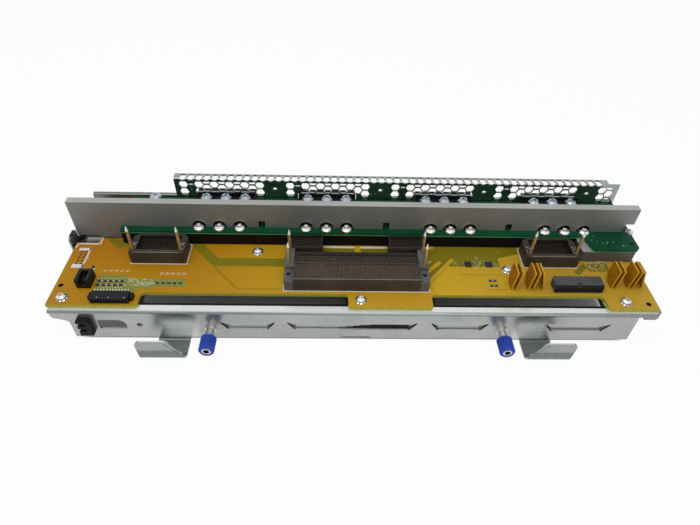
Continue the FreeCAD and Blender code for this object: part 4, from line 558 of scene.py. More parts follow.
pale_bands = [
    ((-187.6, -23.4), (-167.4, -23.4), 16.6),
    ((-167.6, -22.8), (-124.6, -22.9), 8.2),
    ((-168.6, -29.2), (-157.6, -29.2), 4.4),
    ((-160.0, -27.2), (-148.0, -28.2), 3.0),
    ((73.8, 1.4), (77.0, 1.4), 5.0),
    ((104.6, -0.6), (107.6, -0.6), 4.4),
]
tooling_holes = [(-211.8, -26.4), (209.5, -40.0)]
tooling_reach = 3.3


def band_mask(shade, spot, bands):
    """1 inside any of the straight bands (start, end, width in mm on the board), 0 outside."""
    whole = None
    for start, end, width in bands:
        run = Vector(end) - Vector(start)
        along = run.normalized()
        across = Vector((-along.y, along.x))
        reach = []
        for direction in (along, across):
            middle = (Vector(start) + Vector(end)).dot(direction) / 2
            dotted = {0: spot, 1: (direction.x / MM, direction.y / MM, 0.0)}
            travel = shade.add("VectorMath", dotted, "Value", operation="DOT_PRODUCT")
            reach.append(abs(travel - middle))
        inside = (reach[0] < run.length / 2) * (reach[1] < width / 2)
        whole = inside if whole is None else whole | inside
    return whole


def scaled(colour, share):
    """The same colour, lighter or darker."""
    return tuple(share * part for part in colour)


ochre_board, ochre = new_finish("ochre_board")
ochre_spot = ochre.spot()
ochre_x = ochre_spot.axis("X")
ochre_y = ochre_spot.axis("Y")
ochre_up = ochre.facing().axis("Z")
ochre_cloud = grain(ochre, 14.0, detail=3.0)
ochre_fine = grain(ochre, 1900.0, detail=3.0)
ochre_left_half = ochre_x.rise(*left_fade).tint(ochre_left, ochre_middle)
ochre_plain = ochre_x.rise(*right_fade).tint(ochre_left_half, ochre_right)
ochre_parts = {0: 1.0, 6: ochre_plain, 7: ochre_wear}
ochre_worn = ochre.add("Mix", ochre_parts, 2, data_type="RGBA", blend_type="MULTIPLY")
ochre_rear = ochre_y.rise(*deep_fade_y) * (1 - ochre_x.rise(*deep_fade_x))
ochre_body = (ochre_rear * 0.8).tint(ochre_plain, ochre_deep)
ochre_step = (ochre_y < front_rear) * (abs(ochre_x - front_middle) < front_half)
ochre_body = ochre_step.tint(ochre_body, ochre_front)
ochre_copper = (ochre_cloud * 0.75 + ochre_fine * 0.25).mottle(ochre_worn, ochre_body)
ochre_bare = band_mask(ochre, ochre_spot, olive_bands) * (1 - band_mask(ochre, ochre_spot, ochre_bands))
ochre_field = band_mask(ochre, ochre_spot, pale_bands)
ochre_weave = grain(ochre, 2600.0, (1.0, 0.12, 0.12)) * 0.5 + grain(ochre, 2600.0, (0.12, 1.0, 0.12)) * 0.5
ochre_olive = ochre_weave.mottle(olive_mask, scaled(olive_mask, 1.25), 0.35, 0.65)
ochre_pale = ochre_weave.mottle(pale_mask, scaled(pale_mask, 1.2), 0.35, 0.65)
ochre_printed = ochre_field.tint(ochre_bare.tint(ochre_copper, ochre_olive), ochre_pale)
ochre_layers = ochre_weave.mottle(board_edge, scaled(board_edge, 0.72))
# Painted shade: the walls of the tooling holes are coloured near-black.
ochre_hole_shade = None
for hole_x, hole_y in tooling_holes:
    hole_step = {0: ochre_spot, 1: (hole_x * MM, hole_y * MM, board_top)}
    hole_away = ochre.add("VectorMath", hole_step, "Value", operation="DISTANCE")
    in_hole = (hole_away < tooling_reach * MM) * (ochre_up < 0.5)
    ochre_hole_shade = in_hole if ochre_hole_shade is None else ochre_hole_shade | in_hole
close_finish(ochre, {
    "Base Color": ochre_hole_shade.tint((ochre_up > 0.5).tint(ochre_layers, ochre_printed), hole_wall_shade),
    "Roughness": 0.36 + ochre_fine * 0.14,
    "Specular IOR Level": 0.12,
}, ochre_weave * 0.4 + (1 - ochre_bare) * 0.6, 0.00003)
dress(ochre_board, "power_board")

# Printing, pads and vias of the power board
# White ink marks the connectors' places and the empty header. Tinned pads and through holes dot the
# fields between the small parts.
side_connectors = ("left_connector", "right_connector")
ink_height = 0.05
frame_gap = 0.5
frame_width = 0.7
chip_columns = 5
chip_pitch = 4.1
tick_width = 0.35
tick_rise = 1.2
tick_run = 0.9
right_ticks = 34
middle_ticks = 22
ink_lines = []


def ink_frame(node):
    """A rectangle of ink round a node's box, a little outside it."""
    low, high = [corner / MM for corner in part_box(node)]
    left, front = low.x - frame_gap, low.y - frame_gap
    right, rear = high.x + frame_gap, high.y + frame_gap
    corners = [(left, front), (right, front), (right, rear), (left, rear)]
    return [(start, end, frame_width) for start, end in zip(corners, corners[1:] + corners[:1])]


for framed in (*side_connectors, "centre_end_blocks"):
    ink_lines += ink_frame(framed)
ink_lines += [
    ((-215.4, 13.2), (-214.2, 18.2), 1.1),
    ((-214.4, 18.0), (-198.2, 18.0), 1.3),
    ((-198.0, 17.6), (-198.0, 25.0), 1.3),
    ((-25.8, 17.2), (-1.4, 17.2), 1.9),
    ((3.2, 17.2), (24.2, 17.2), 1.9),
    ((-211.8, 11.8), (-203.0, 11.8), 2.9),
    ((-203.4, -8.6), (-203.4, 13.2), 1.1),
    ((-211.4, -6.4), (-203.0, -6.4), 4.2),
    ((-202.6, 1.4), (-202.6, 3.2), 1.4),
    ((-195.6, -9.6), (-193.2, -9.6), 1.0),
    ((186.0, 4.0), (194.0, 4.1), 0.3),
]
chip_strokes = [
    ((-186.0, -12.4), (-185.4, -10.6), 0.5),
    ((-184.6, -11.6), (-184.2, -10.4), 0.4),
    ((-144.6, -15.0), (-144.0, -12.4), 0.5),
    ((-143.0, -14.6), (-142.6, -12.8), 0.4),
]
for column in range(chip_columns):
    move = chip_pitch * column
    for start, end, width in chip_strokes:
        ink_lines.append(((start[0] + move, start[1]), (end[0] + move, end[1]), width))
ink_random = random.Random(4)
for _ in range(right_ticks):
    tick_x = ink_random.uniform(176.0, 193.0)
    tick_y = ink_random.uniform(-6.4, 2.0)
    tick_slope = ink_random.choice((-0.8, 0.0, 0.9))
    ink_lines.append(((tick_x, tick_y), (tick_x + tick_slope, tick_y + tick_rise), tick_width))
for _ in range(middle_ticks):
    tick_x = ink_random.uniform(88.0, 98.0)
    tick_y = ink_random.uniform(-4.6, 8.0)
    tick_slope = ink_random.uniform(-0.6, 0.6)
    ink_lines.append(((tick_x, tick_y), (tick_x + tick_run, tick_y + tick_slope), tick_width))
white_ink, ink = new_finish("white_ink")
ink_wear = grain(ink, 1500.0, detail=4.0)
close_finish(ink, {
    "Base Color": ink_wear.mottle((0.5, 0.48, 0.38), (0.74, 0.73, 0.68), 0.25, 0.6),
    "Roughness": 0.55 + ink_wear * 0.2,
})
new_piece(straight_boxes("board_printing", ink_lines, board_top, ink_height), white_ink)


def repeated(name, shape, places, material):
    """Copies one small shape to each place with a node tree, and keeps the result as a plain mesh."""
    tree = bpy.data.node_groups.new(name, "GeometryNodeTree")
    inputs = {}
    for label, kind in (("Geometry", "Geometry"), ("Shape", "Object"), ("Finish", "Material")):
        made = tree.interface.new_socket(label, in_out="INPUT", socket_type="NodeSocket" + kind)
        inputs[label] = made.identifier
    tree.interface.new_socket("Geometry", in_out="OUTPUT", socket_type="NodeSocketGeometry")
    entry = tree.nodes.new("NodeGroupInput")
    close = tree.nodes.new("NodeGroupOutput")
    source = tree.nodes.new("GeometryNodeObjectInfo")
    copies = tree.nodes.new("GeometryNodeInstanceOnPoints")
    real = tree.nodes.new("GeometryNodeRealizeInstances")
    paint = tree.nodes.new("GeometryNodeSetMaterial")
    tree.links.new(entry.outputs["Shape"], source.inputs["Object"])
    tree.links.new(entry.outputs["Geometry"], copies.inputs["Points"])
    tree.links.new(source.outputs["Geometry"], copies.inputs["Instance"])
    tree.links.new(copies.outputs[0], real.inputs[0])
    tree.links.new(real.outputs[0], paint.inputs["Geometry"])
    tree.links.new(entry.outputs["Finish"], paint.inputs["Material"])
    tree.links.new(paint.outputs[0], close.inputs[0])
    pattern = bpy.data.objects.new(name + "_shape", shape)
    points = bpy.data.meshes.new(name + "_places")
    points.from_pydata(places, [], [])
    carrier = bpy.data.objects.new(name + "_places", points)
    for item in (pattern, carrier):
        scene.collection.objects.link(item)
    modifier = carrier.modifiers.new(name, "NODES")
    modifier.node_group = tree
    modifier[inputs["Shape"]] = pattern
    modifier[inputs["Finish"]] = material
    evaluated = carrier.evaluated_get(bpy.context.evaluated_depsgraph_get())
    mesh = bpy.data.meshes.new_from_object(evaluated)
    mesh.name = name
    for item in (pattern, carrier):
        bpy.data.objects.remove(item)
    new_piece(mesh, material)


def turned_shape(name, profile, sides):
    """A small closed solid of revolution about Z from (radius, height) pairs in mm, bottom to top."""
    bm = bmesh.new()
    rings = []
    for radius, height in profile:
        ring = []
        for step in range(sides if radius > 0 else 1):
            angle = 2 * math.pi * step / sides
            spot = (radius * math.cos(angle), radius * math.sin(angle), height)
            ring.append(bm.verts.new(Vector(spot) * MM))
        rings.append(ring)
    for low, high in zip(rings, rings[1:]):
        for step in range(sides):
            after = (step + 1) % sides
            lower = [low[step % len(low)], low[after % len(low)]]
            upper = [high[after % len(high)], high[step % len(high)]]
            corners = list(dict.fromkeys(lower + upper))
            if len(corners) > 2:
                bm.faces.new(corners)
    for ring in (rings[0], rings[-1]):
        if len(ring) > 2:
            bm.faces.new(ring)
    bmesh.ops.recalc_face_normals(bm, faces=bm.faces)
    return kept_mesh(bm, name)


def scatter(draw, count, x_range, y_range):
    """Random spots in a field, in mm."""
    return [(draw.uniform(*x_range), draw.uniform(*y_range)) for _ in range(count)]


def laid(spots, height):
    """Spots in mm as places in metres on the plane at a height."""
    return [(x * MM, y * MM, height) for x, y in spots]


tinned = turned_metal("tinned_copper", (0.5, 0.5, 0.48), (0.75, 0.75, 0.72), rough=0.25)
via_spots = scatter(ink_random, 70, (-167.0, -147.0), (-26.4, -19.2))
via_spots += [(-187.4 + chip_pitch / 2 * column, row_y) for row_y in (-27.9, -19.4) for column in range(10)]
via_spots += scatter(ink_random, 26, (74.0, 108.0), (-4.4, 8.6))
via = turned_shape("via", [(0.42, 0.0), (0.42, 0.04), (0.2, 0.06), (0.0, 0.05)], 8)
repeated("board_vias", via, laid(via_spots, board_top), tinned)
pad_first = 9.1
pad_pitch = 3.24
pad_spots = [(x, pad_first - pad_pitch * row) for row in range(5) for x in (-208.7, -205.5)]
pad_ring = turned_shape("pad_ring", [(0.95, 0.0), (0.95, 0.05), (0.6, 0.07), (0.0, 0.03)], 12)
# Near-black as painted shade in the empty header's holes, the washers' tooth gaps and on connector screws.
dark_hole = moulded("dark_hole", (0.006, 0.005, 0.004), (0.02, 0.016, 0.01), rough=0.6)
repeated("header_pads", pad_ring, laid(pad_spots, board_top), dark_hole)

# Board screws
# Five plated machine screws hold the board to the tray. Each has a toothed washer that bites through
# the mask for a good earth.
bright_steel = turned_metal("bright_steel", (0.52, 0.52, 0.51), (0.78, 0.78, 0.77), rough=0.18)
dress(bright_steel, "power_board_screws")
dress(rivet_zinc, "power_board_washers")
washer_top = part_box("power_board_washers")[1].z
washer_middles = [(-206.6, -38.7), (-76.0, 10.8), (1.9, -38.7), (113.9, -6.7), (193.2, -38.7)]
tooth_count = 9
tooth_reach = 3.72
tooth_start = 0.3
tooth_sunk = 0.3
tooth_spots = []
for middle_x, middle_y in washer_middles:
    for step in range(tooth_count):
        angle = 2 * math.pi * (step + tooth_start) / tooth_count
        tooth_x = middle_x + tooth_reach * math.cos(angle)
        tooth_spots.append((tooth_x, middle_y + tooth_reach * math.sin(angle)))
# Painted shade: near-black cones sunk in the gaps between the washer teeth.
tooth_gap = turned_shape("tooth_gap", [(0.5, 0.0), (0.5, 0.33), (0.0, 0.34)], 6)
repeated("washer_gaps", tooth_gap, laid(tooth_spots, washer_top - tooth_sunk * MM), dark_hole)

# Spacer and insulator
# A dark die-cast spacer carries the second board above the first, cast rough and left unpainted.
# A strip of black insulating film is stuck along its front.
cast_metal, cast = new_finish("dark_casting")
cast_grit = grain(cast, 2100.0, detail=4.0)
# Painted light: faces that look up are coloured lighter than the sides.
cast_lit_share = cast.facing().axis("Z").rise(0.6, 0.9)
cast_shaded_side = cast_grit.mottle((0.06, 0.056, 0.047), (0.16, 0.148, 0.125), 0.35, 0.7)
cast_lit_top = cast_grit.mottle((0.26, 0.26, 0.25), (0.36, 0.36, 0.35))
close_finish(cast, {
    "Base Color": cast_lit_share.tint(cast_shaded_side, cast_lit_top),
    "Metallic": 0.35,
    "Roughness": 0.5 + cast_grit * 0.2,
}, cast_grit, 0.00008)
dress(cast_metal, "spacer_frame")
black_film = moulded(
    "black_film", (0.003, 0.0024, 0.002), (0.007, 0.005, 0.004),
    rough=0.4, grit=500.0, depth=0.00001, shine=0.1)
dress(black_film, "insulator_strip")

# Second board
# A green-masked board screwed down on the spacer. Mask runs down its edge to a thin line of pale
# laminate, and small tinned test points dot its wing at the right end and its rear.
green_low, green_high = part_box("midplane_board")
green_top = green_high.z
green_edge = (0.085, 0.26, 0.11)
edge_line = (0.0005, 0.0012)
green_board, green = new_finish("green_board")
green_up = green.facing().axis("Z")
green_cloud = grain(green, 30.0, detail=4.0)
green_fine = grain(green, 1800.0, detail=3.0)
green_mask = (green_cloud * 0.6 + green_fine * 0.4).mottle((0.003, 0.046, 0.02), (0.006, 0.078, 0.034))
green_height = green.spot().axis("Z") - green_low.z
green_layers = green_height.rise(*edge_line).tint(green_edge, green_mask)
close_finish(green, {
    "Base Color": (abs(green_up) > 0.5).tint(green_layers, green_mask),
    "Roughness": 0.32 + green_fine * 0.14,
    "Specular IOR Level": 0.06,
}, green_fine, 0.00002)
dress(green_board, "midplane_board")
speck_random = random.Random(9)
speck_spots = [(186.0, 13.4), (192.9, 11.4), (198.7, 13.0), (190.0, 11.4)]
speck_spots += scatter(speck_random, 4, (182.0, 208.0), (8.0, 22.0))
speck_spots += scatter(speck_random, 90, (-176.0, 205.0), (35.0, 58.0))
speck = turned_shape("test_point", [(0.5, 0.0), (0.5, 0.05), (0.25, 0.09), (0.0, 0.1)], 10)
repeated("test_points", speck, laid(speck_spots, green_top), tinned)

# Dome screws and corner standoff
# Chromed dome-head screws with captive washers clamp the second board in rows of three, the rear ones
# coloured darker and bluer. A hexagonal standoff stands in the wing's rear corner.
chrome = turned_metal("chromed_screw", (0.6, 0.6, 0.6), (0.85, 0.85, 0.85), rough=0.06)
dress(chrome, "midplane_front_screws")
dress(turned_metal("dull_chrome", (0.3, 0.34, 0.39), (0.5, 0.55, 0.6), rough=0.1), "midplane_rear_screws")
dress(bright_steel, "corner_standoff")

# Stiffener bar
# A thick flat bar stands on edge across both boards and keeps them from bowing. Its faces are dark
# mill-finished metal. Painted light makes its edges bright, and painted shadow darkens its recesses and foot.
bar_skin = 0.2 * MM
recess_depth = 5.8 * MM
recess_height = 6.6 * MM
recess_end = 0.2
foot_height = 1.4 * MM
bar_shadow = (0.006, 0.006, 0.005)
bar_metal, bar = new_finish("bar_metal")
bar_side = abs(bar.facing().axis("Y"))
bar_upward = bar.facing().axis("Z")
bar_spot = bar.spot()
bar_sunk = bar_spot.axis("Y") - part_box("stiffener_bar")[0].y
bar_brush = grain(bar, 3400.0, (0.012, 1.0, 1.0), 3.0)
bar_cloud = grain(bar, 16.0, detail=4.0)
bar_tone = bar_brush * 0.55 + bar_cloud * 0.45
bar_dark = bar_tone.mottle((0.16, 0.165, 0.155), (0.235, 0.24, 0.23))
# Painted light: the edges are coloured lighter than the faces.
bar_lit_edge = bar_tone.mottle((0.31, 0.315, 0.3), (0.41, 0.415, 0.4))
# Painted shadow in the recesses and along the foot.
bar_low = (bar_spot.axis("Z") < green_top + recess_height) * (abs(bar_spot.axis("X")) < recess_end)
bar_recess = (bar_sunk > bar_skin) * (bar_sunk < recess_depth) * bar_low * (bar_upward > -0.99)
bar_foot = (1 - bar_spot.axis("Z").rise(board_top, board_top + foot_height)) * (bar_sunk < bar_skin)
close_finish(bar, {
    "Base Color": (bar_recess | bar_foot).tint((bar_side > 0.5).tint(bar_lit_edge, bar_dark), bar_shadow),
    "Metallic": 0.6 * (1 - bar_recess),
    "Roughness": 0.4 + bar_tone * 0.2,
}, bar_brush, 0.00003)
dress(bar_metal, "stiffener_bar")

# Side connectors
# Two dark brown glass-filled housings with a sunk row of blade slots, screwed through the board. Each
# has two tall round pins, tan-plated with bare steel tips, that guide the plug.
lip = 0.4
brown_shadow = (0.002, 0.0015, 0.001)


def brown_housing(node, wall, rear_from=None):
    """Brown glass-filled moulding with painted shade in its sunk rows and, past a depth in mm, its rear."""
    material, shade = new_finish(f"{node}_moulding")
    low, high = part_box(node)
    spot = shade.spot()
    skin = grain(shade, 2300.0, detail=3.0)
    cloud = grain(shade, 60.0)
    inside = spot.axis("Z") < high.z - lip * MM
    for name, first, last in (("X", low.x, high.x), ("Y", low.y, high.y)):
        inside = inside * (abs(spot.axis(name) - (first + last) / 2) < (last - first) / 2 - wall * MM)
    # Painted shade in the sunk rows and, past rear_from, at the rear.
    shadow = inside * 0.72
    if rear_from is not None:
        shadow = shadow | (spot.axis("Y") > low.y + rear_from * MM) * 0.8
    skin_colour = (skin * 0.6 + cloud * 0.4).mottle((0.02, 0.0155, 0.011), (0.052, 0.0415, 0.03), 0.32, 0.68)
    close_finish(shade, {
        "Base Color": shadow.tint(skin_colour, brown_shadow),
        "Roughness": 0.46 + skin * 0.16,
        "Specular IOR Level": 0.3,
    }, skin, 0.00005)
    dress(material, node)


def block(name, width, depth, height, base=0.0):
    """One small box about the Z axis, all in mm, for copying."""
    return straight_boxes(name, [((-width / 2, 0.0), (width / 2, 0.0), depth)], base * MM, height)


def raster(middle, columns, pitch, depths, height):
    """Places in columns about a middle, at each depth and at one height. Pitch is in mm."""
    across = [middle + (column - (columns - 1) / 2) * pitch * MM for column in range(columns)]
    return [(x, y, height) for x in across for y in depths]


rim_width = 0.5
rim_height = 0.22
rim_sunk = 0.2
rim_inset = 3.2
blade_columns = 13
blade_rows = 4
blade_pitch = 2.3
blade_first = 6.6
blade_row = 3.3
blade_sunk = 5.6
# Painted highlight: pale strips along the front top edges of the housings.
worn_edge = moulded("worn_edge", (0.16, 0.145, 0.12), (0.3, 0.28, 0.24), rough=0.5, grit=2300.0)
# Contacts deep in the slots are coloured far darker than plated metal: painted shade.
blade_metal = turned_metal("blade_metal", (0.036, 0.024, 0.012), (0.105, 0.072, 0.036), rough=0.3)
rim_highlight_lines = []
blade_places = []
for socketed in side_connectors:
    brown_housing(socketed, wall=1.5)
    side_low, side_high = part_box(socketed)
    rim_y = side_low.y / MM + rim_width / 2
    rim_highlight_lines.append(((side_low.x / MM + rim_inset, rim_y), (side_high.x / MM - rim_inset, rim_y), rim_width))
    blade_depths = [side_low.y + (blade_first + blade_row * row) * MM for row in range(blade_rows)]
    blade_middle = (side_low.x + side_high.x) / 2
    blade_foot = side_high.z - blade_sunk * MM
    blade_places += raster(blade_middle, blade_columns, blade_pitch, blade_depths, blade_foot)
rim_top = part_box("left_connector")[1].z
rim_highlights = straight_boxes("connector_rims", rim_highlight_lines, rim_top - rim_sunk * MM, rim_height)
new_piece(rim_highlights, worn_edge)
repeated("side_blades", block("blade", 0.56, 2.2, 1.4), blade_places, blade_metal)
# The connector screws get the same near-black painted shade.
dress(dark_hole, "connector_screws")
ring_spots = [(x, y) for x in (-166.1, -130.5, 130.5, 166.1) for y in (8.6, 3.4)]
jack_ring = turned_shape("jack_ring", [(2.0, 0.0), (2.0, 0.4), (1.8, 0.5), (1.6, 0.4), (1.6, 0.0)], 20)
ring_steel = turned_metal("ring_steel", (0.2, 0.2, 0.2), (0.42, 0.42, 0.41), rough=0.2)
repeated("jack_rings", jack_ring, laid(ring_spots, rim_top), ring_steel)
tip_length = 3.8 * MM
tip_fade = 0.4 * MM
tip_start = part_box("left_guide_pins")[1].z - tip_length
pin_steel, pin = new_finish("plated_pin")
pin_grain = grain(pin, 2500.0, (1.0, 1.0, 0.1), 3.0)
pin_shaft = pin_grain.mottle((0.42, 0.31, 0.15), (0.6, 0.47, 0.26))
pin_point = pin_grain.mottle((0.62, 0.61, 0.58), (0.82, 0.81, 0.78))
pin_tip = pin.spot().axis("Z").rise(tip_start - tip_fade, tip_start + tip_fade)
close_finish(pin, {
    "Base Color": pin_tip.tint(pin_shaft, pin_point),
    "Metallic": 0.85,
    "Roughness": 0.3 + pin_grain * 0.15,
}, pin_grain, 0.00001)
dress(pin_steel, "left_guide_pins", "right_guide_pins")

# Centre connector
# A long brown housing with two rows of narrow slots and spring contacts in them. Grey end blocks
# carry two guide pins each and are screwed down from below.
brown_housing("centre_connector", wall=0.8, rear_from=17.4)
centre_low, centre_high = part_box("centre_connector")
centre_middle = (centre_low.x + centre_high.x) / 2
centre_y = centre_low.y / MM + rim_width / 2
# The centre housing's front top edge gets the same painted highlight.
centre_line = [((centre_low.x / MM, centre_y), (centre_high.x / MM, centre_y), rim_width)]
centre_rim = straight_boxes("centre_rim", centre_line, centre_high.z - rim_sunk * MM, rim_height)
new_piece(centre_rim, worn_edge)
grey_moulding = moulded(
    "grey_moulding", (0.05, 0.05, 0.048), (0.105, 0.105, 0.1),
    rough=0.4, grit=1800.0, depth=0.00003, shine=0.45)
dress(grey_moulding, "centre_end_blocks")
dress(pin_steel, "centre_guide_pins")
contact_columns = 45
contact_pitch = 1.96
contact_places = []
for row_count, row_first, row_pitch, row_sunk in ((6, 3.2, 2.32, 1.6), (3, 19.0, 2.6, 1.9)):
    row_depths = [centre_low.y + (row_first + row_pitch * row) * MM for row in range(row_count)]
    row_top = centre_high.z - row_sunk * MM
    contact_places += raster(centre_middle, contact_columns, contact_pitch, row_depths, row_top)
# Gilt contacts darkened as painted shade, for the centre, upright and supply connectors.
shaded_gilt = turned_metal("gilt_contact", (0.09, 0.066, 0.042), (0.2, 0.155, 0.1), rough=0.3)
repeated("centre_contacts", block("contact", 0.56, 2.0, 0.9), contact_places, shaded_gilt)

# Small upright connectors
# Two brown housings behind the centre one, with five sunk rows of fine contacts each. They take a
# second plug board.
fine_columns = 17
fine_rows = 5
fine_pitch = 1.25
fine_row = 2.1
fine_sunk = 2.7
fine_places = []
for socketed in ("left_mezzanine", "right_mezzanine"):
    brown_housing(socketed, wall=0.6, rear_from=0.8)
    fine_low, fine_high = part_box(socketed)
    fine_middle = (fine_low + fine_high) / 2
    fine_depths = [fine_middle.y + (row - (fine_rows - 1) / 2) * fine_row * MM for row in range(fine_rows)]
    fine_foot = fine_high.z - fine_sunk * MM
    fine_places += raster(fine_middle.x, fine_columns, fine_pitch, fine_depths, fine_foot)
repeated("upright_contacts", block("fine_contact", 0.5, 0.5, 1.0), fine_places, shaded_gilt)

# Headers
# Black moulded headers for signals and the fan near the left end, and a bevelled edge connector at
# the right. Tinned leads run from behind them into the board.
# Painted shade on the forward faces of the headers and of the edge connector.
black_moulding = moulded(
    "black_moulding", (0.004, 0.004, 0.004), (0.011, 0.011, 0.011),
    rough=0.42, grit=1700.0, depth=0.00003, shine=0.2, front=0.6)
dress(black_moulding, "signal_header", "fan_header")
slate_moulding = moulded(
    "slate_moulding", (0.044, 0.044, 0.049), (0.082, 0.082, 0.09),
    rough=0.45, grit=1700.0, depth=0.00003, shine=0.15, front=0.95)
dress(slate_moulding, "edge_connector")
dress(tinned, "signal_header_leads", "edge_connector_leads")
# The fan header's pins get the same painted shade.
dress(blade_metal, "fan_header_pins")
lead_count = 12
lead_pitch = 2.1
lead_behind = 0.9
lead_lift = 0.4
key_inset = 1.0
header_low, header_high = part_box("signal_header")
header_middle = (header_low.x + header_high.x) / 2
tip_depths = [header_high.y + lead_behind * MM]
tip_places = raster(header_middle, lead_count, lead_pitch, tip_depths, board_top + lead_lift * MM)
repeated("header_tips", block("lead_tip", 0.8, 1.8, 4.3), tip_places, tinned)
key_places = [(x * MM, header_low.y + key_inset * MM, header_high.z) for x in (-180.3, -172.4, -161.6)]
repeated("header_keys", block("key_mark", 0.6, 0.6, 0.2, base=-0.1), key_places, tinned)

# Upright fuses
# Ten thin resettable fuses stand on their leads in groups, dipped in a yellow-brown resin. Their narrow
# edges are coloured paler than their broad faces.
fuse_coat, resin = new_finish("fuse_coat")
resin_side = abs(resin.facing().axis("X"))
resin_cloud = grain(resin, 160.0, detail=3.0)
resin_fine = grain(resin, 2400.0, detail=3.0)
resin_face = (resin_cloud * 0.6 + resin_fine * 0.4).mottle((0.27, 0.1, 0.002), (0.42, 0.185, 0.006))
resin_edge = resin_fine.mottle((0.46, 0.23, 0.008), (0.6, 0.34, 0.018))
close_finish(resin, {
    "Base Color": resin_side.rise(0.4, 0.8).tint(resin_edge, resin_face),
    "Roughness": 0.3 + resin_fine * 0.2,
    "Specular IOR Level": 0.15,
}, resin_cloud * 0.7 + resin_fine * 0.3, 0.00008)
dress(fuse_coat, *[f"fuse_{number}" for number in range(1, 11)])

# Small parts on the power board
# Black chip resistors in two rows of five and one more row, ceramic capacitors and two square
# controllers, all soldered flat with bright end caps and leads.
chip_black = moulded(
    "chip_black", (0.006, 0.006, 0.007), (0.016, 0.016, 0.017),
    rough=0.4, grit=2600.0, depth=0.00001, shine=0.4)
dress(chip_black, "controllers", "chip_resistors")
dress(moulded("chip_ceramic", (0.02, 0.017, 0.013), (0.06, 0.05, 0.036), rough=0.45), "chip_capacitors")
chip_half = 1.42
ceramic_half = 1.22
ceramic_pitch = 3.4
leg_reach = 2.75
leg_pitch = 0.75
leg_middle = -1.1
cap_spots = []
for side in (-1, 1):
    for column in range(chip_columns):
        move = chip_pitch * column
        cap_spots += [(-186.2 + move + side * chip_half, row_y) for row_y in (-25.7, -21.7)]
        cap_spots.append((-144.6 + move, -23.6 + side * chip_half))
    cap_spots.append((-195.1 + side * chip_half, -7.5))
    for column in range(2):
        ceramic_x = 98.8 + ceramic_pitch * column + side * ceramic_half
        cap_spots += [(ceramic_x, row_y) for row_y in (-23.2, -18.1)]
repeated("chip_end_caps", block("end_cap", 0.9, 0.9, 0.5), laid(cap_spots, board_top), tinned)
leg_spots = []
for controller_x in (85.0, 101.0):
    for step in range(6):
        leg_y = leg_middle + leg_pitch * (step - 2.5)
        leg_spots += [(controller_x + side * leg_reach, leg_y) for side in (-1, 1)]
repeated("controller_leads", block("leg", 0.8, 0.34, 0.22), laid(leg_spots, board_top), tinned)

# Supply connectors
# Four black housings straddle the second board's rear edge and open to the rear, with broad plated
# blades in their slots.
tail_count = 9
tail_pitch = 4.6
tail_inset = 3.6
tail_thick = 0.7
tail_places = []
for number in range(1, 5):
    supply = f"supply_connector_{number}"
    dress(black_nylon, supply)
    tail_low, tail_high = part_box(supply)
    tail_middle = (tail_low + tail_high) / 2
    tail_foot = tail_middle.z - tail_thick / 2 * MM
    tail_depths = [tail_high.y - tail_inset * MM]
    tail_places += raster(tail_middle.x, tail_count, tail_pitch, tail_depths, tail_foot)
# The supply blades carry the same painted shade.
repeated("supply_blades", block("tail", 3.0, 4.4, tail_thick), tail_places, shaded_gilt)

# Captive thumbscrews
# A turned ferrule is staked into the flange at each side. In it slides a screw with a blue moulded grip,
# held by a ring behind the flange. A spring of round wire is squeezed when the grip is pressed.
blue_moulding = moulded(
    "blue_moulding", (0.016, 0.044, 0.29), (0.034, 0.078, 0.44),
    rough=0.4, grit=1200.0, depth=0.00003, shine=0.12)
screw_zinc = turned_metal("screw_zinc", (0.42, 0.42, 0.41), (0.66, 0.66, 0.64), rough=0.24)
spring_steel = turned_metal("spring_steel", (0.34, 0.34, 0.33), (0.55, 0.55, 0.54), rough=0.25)
socket_reach = 2.15 * MM
socket_start = 0.3 * MM
socket_end = 8.0 * MM
socket_shade_black = (0.012, 0.012, 0.012)
thread_start = 19.0 * MM
thread_pitch = 0.7 * MM
thread_depth = 0.2 * MM
socket_screw, socket = new_finish("socket_screw")
socket_low, socket_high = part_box("left_screw")
socket_middle = (socket_low + socket_high) / 2
socket_spot = socket.spot()
socket_x = abs(socket_spot.axis("X")) - abs(socket_middle.x)
socket_z = socket_spot.axis("Z") - socket_middle.z
socket_y = socket_spot.axis("Y") - socket_low.y
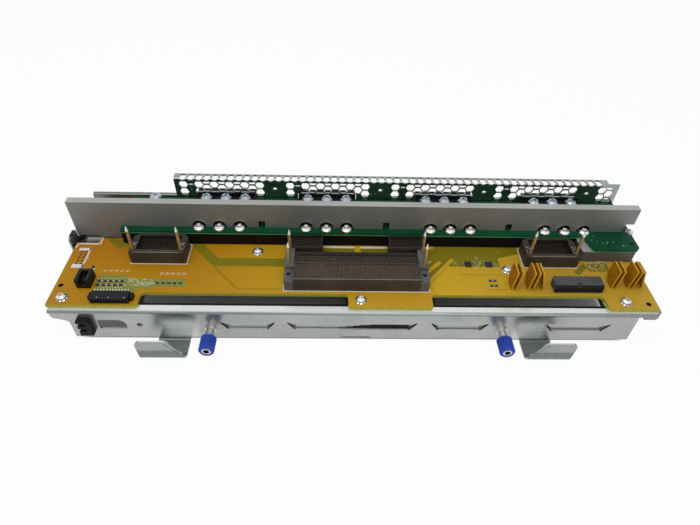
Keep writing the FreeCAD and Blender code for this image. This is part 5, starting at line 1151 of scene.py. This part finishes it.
# Painted shade: the hex socket is coloured near-black and not metallic.
socket_inside = socket_x * socket_x + socket_z * socket_z < socket_reach * socket_reach
socket_shade = socket_inside * (socket_y > socket_start) * (socket_y < socket_end)
socket_wear = grain(socket, 2600.0, detail=3.0)
socket_metal = socket_wear.mottle((0.5, 0.5, 0.49), (0.74, 0.74, 0.72))
thread_wave = socket.math("SINE", socket_y * (2 * math.pi / thread_pitch)) * (socket_y > thread_start)
close_finish(socket, {
    "Base Color": socket_shade.tint(socket_metal, socket_shade_black),
    "Metallic": 1 - socket_shade,
    "Roughness": 0.24 + socket_wear * 0.16,
}, thread_wave, thread_depth)
coil_turns = 6
coil_steps = 24
coil_wire = 0.45 * MM
coil_end_gap = 0.06 * MM
wire_sides = 8


def wire_coil(name, low, high):
    """A round wire spring along Y that fills a box."""
    middle = (low + high) / 2
    reach = (high.x - low.x) / 2 - coil_wire / 2
    first = low.y + coil_wire / 2 + coil_end_gap
    run = high.y - low.y - coil_wire - 2 * coil_end_gap
    steps = coil_turns * coil_steps
    bm = bmesh.new()
    rings = []
    for step in range(steps + 1):
        angle = 2 * math.pi * step / coil_steps
        outward = Vector((math.cos(angle), 0.0, math.sin(angle)))
        heart = Vector((middle.x, first + run * step / steps, middle.z)) + outward * reach
        ring = []
        for corner in range(wire_sides):
            around = 2 * math.pi * corner / wire_sides
            skin = outward * math.cos(around) + Vector((0.0, math.sin(around), 0.0))
            ring.append(bm.verts.new(heart + skin * coil_wire / 2))
        rings.append(ring)
    for ring, after in zip(rings, rings[1:]):
        for corner in range(wire_sides):
            beside = (corner + 1) % wire_sides
            bm.faces.new((ring[corner], ring[beside], after[beside], after[corner]))
    bm.faces.new(rings[0])
    bm.faces.new(rings[-1])
    bmesh.ops.recalc_face_normals(bm, faces=bm.faces)
    for face in bm.faces:
        face.smooth = True
    return kept_mesh(bm, name)


for side in ("left", "right"):
    dress(blue_moulding, f"{side}_knob")
    dress(screw_zinc, f"{side}_ferrule", f"{side}_retaining_ring")
    dress(socket_screw, f"{side}_screw")
    spring_low, spring_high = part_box(f"{side}_spring")
    spring_mesh = wire_coil(f"{side}_coil", spring_low, spring_high)
    spring = new_piece(spring_mesh, spring_steel, f"{side}_carriage")
    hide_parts(f"{side}_spring")
    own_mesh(spring)
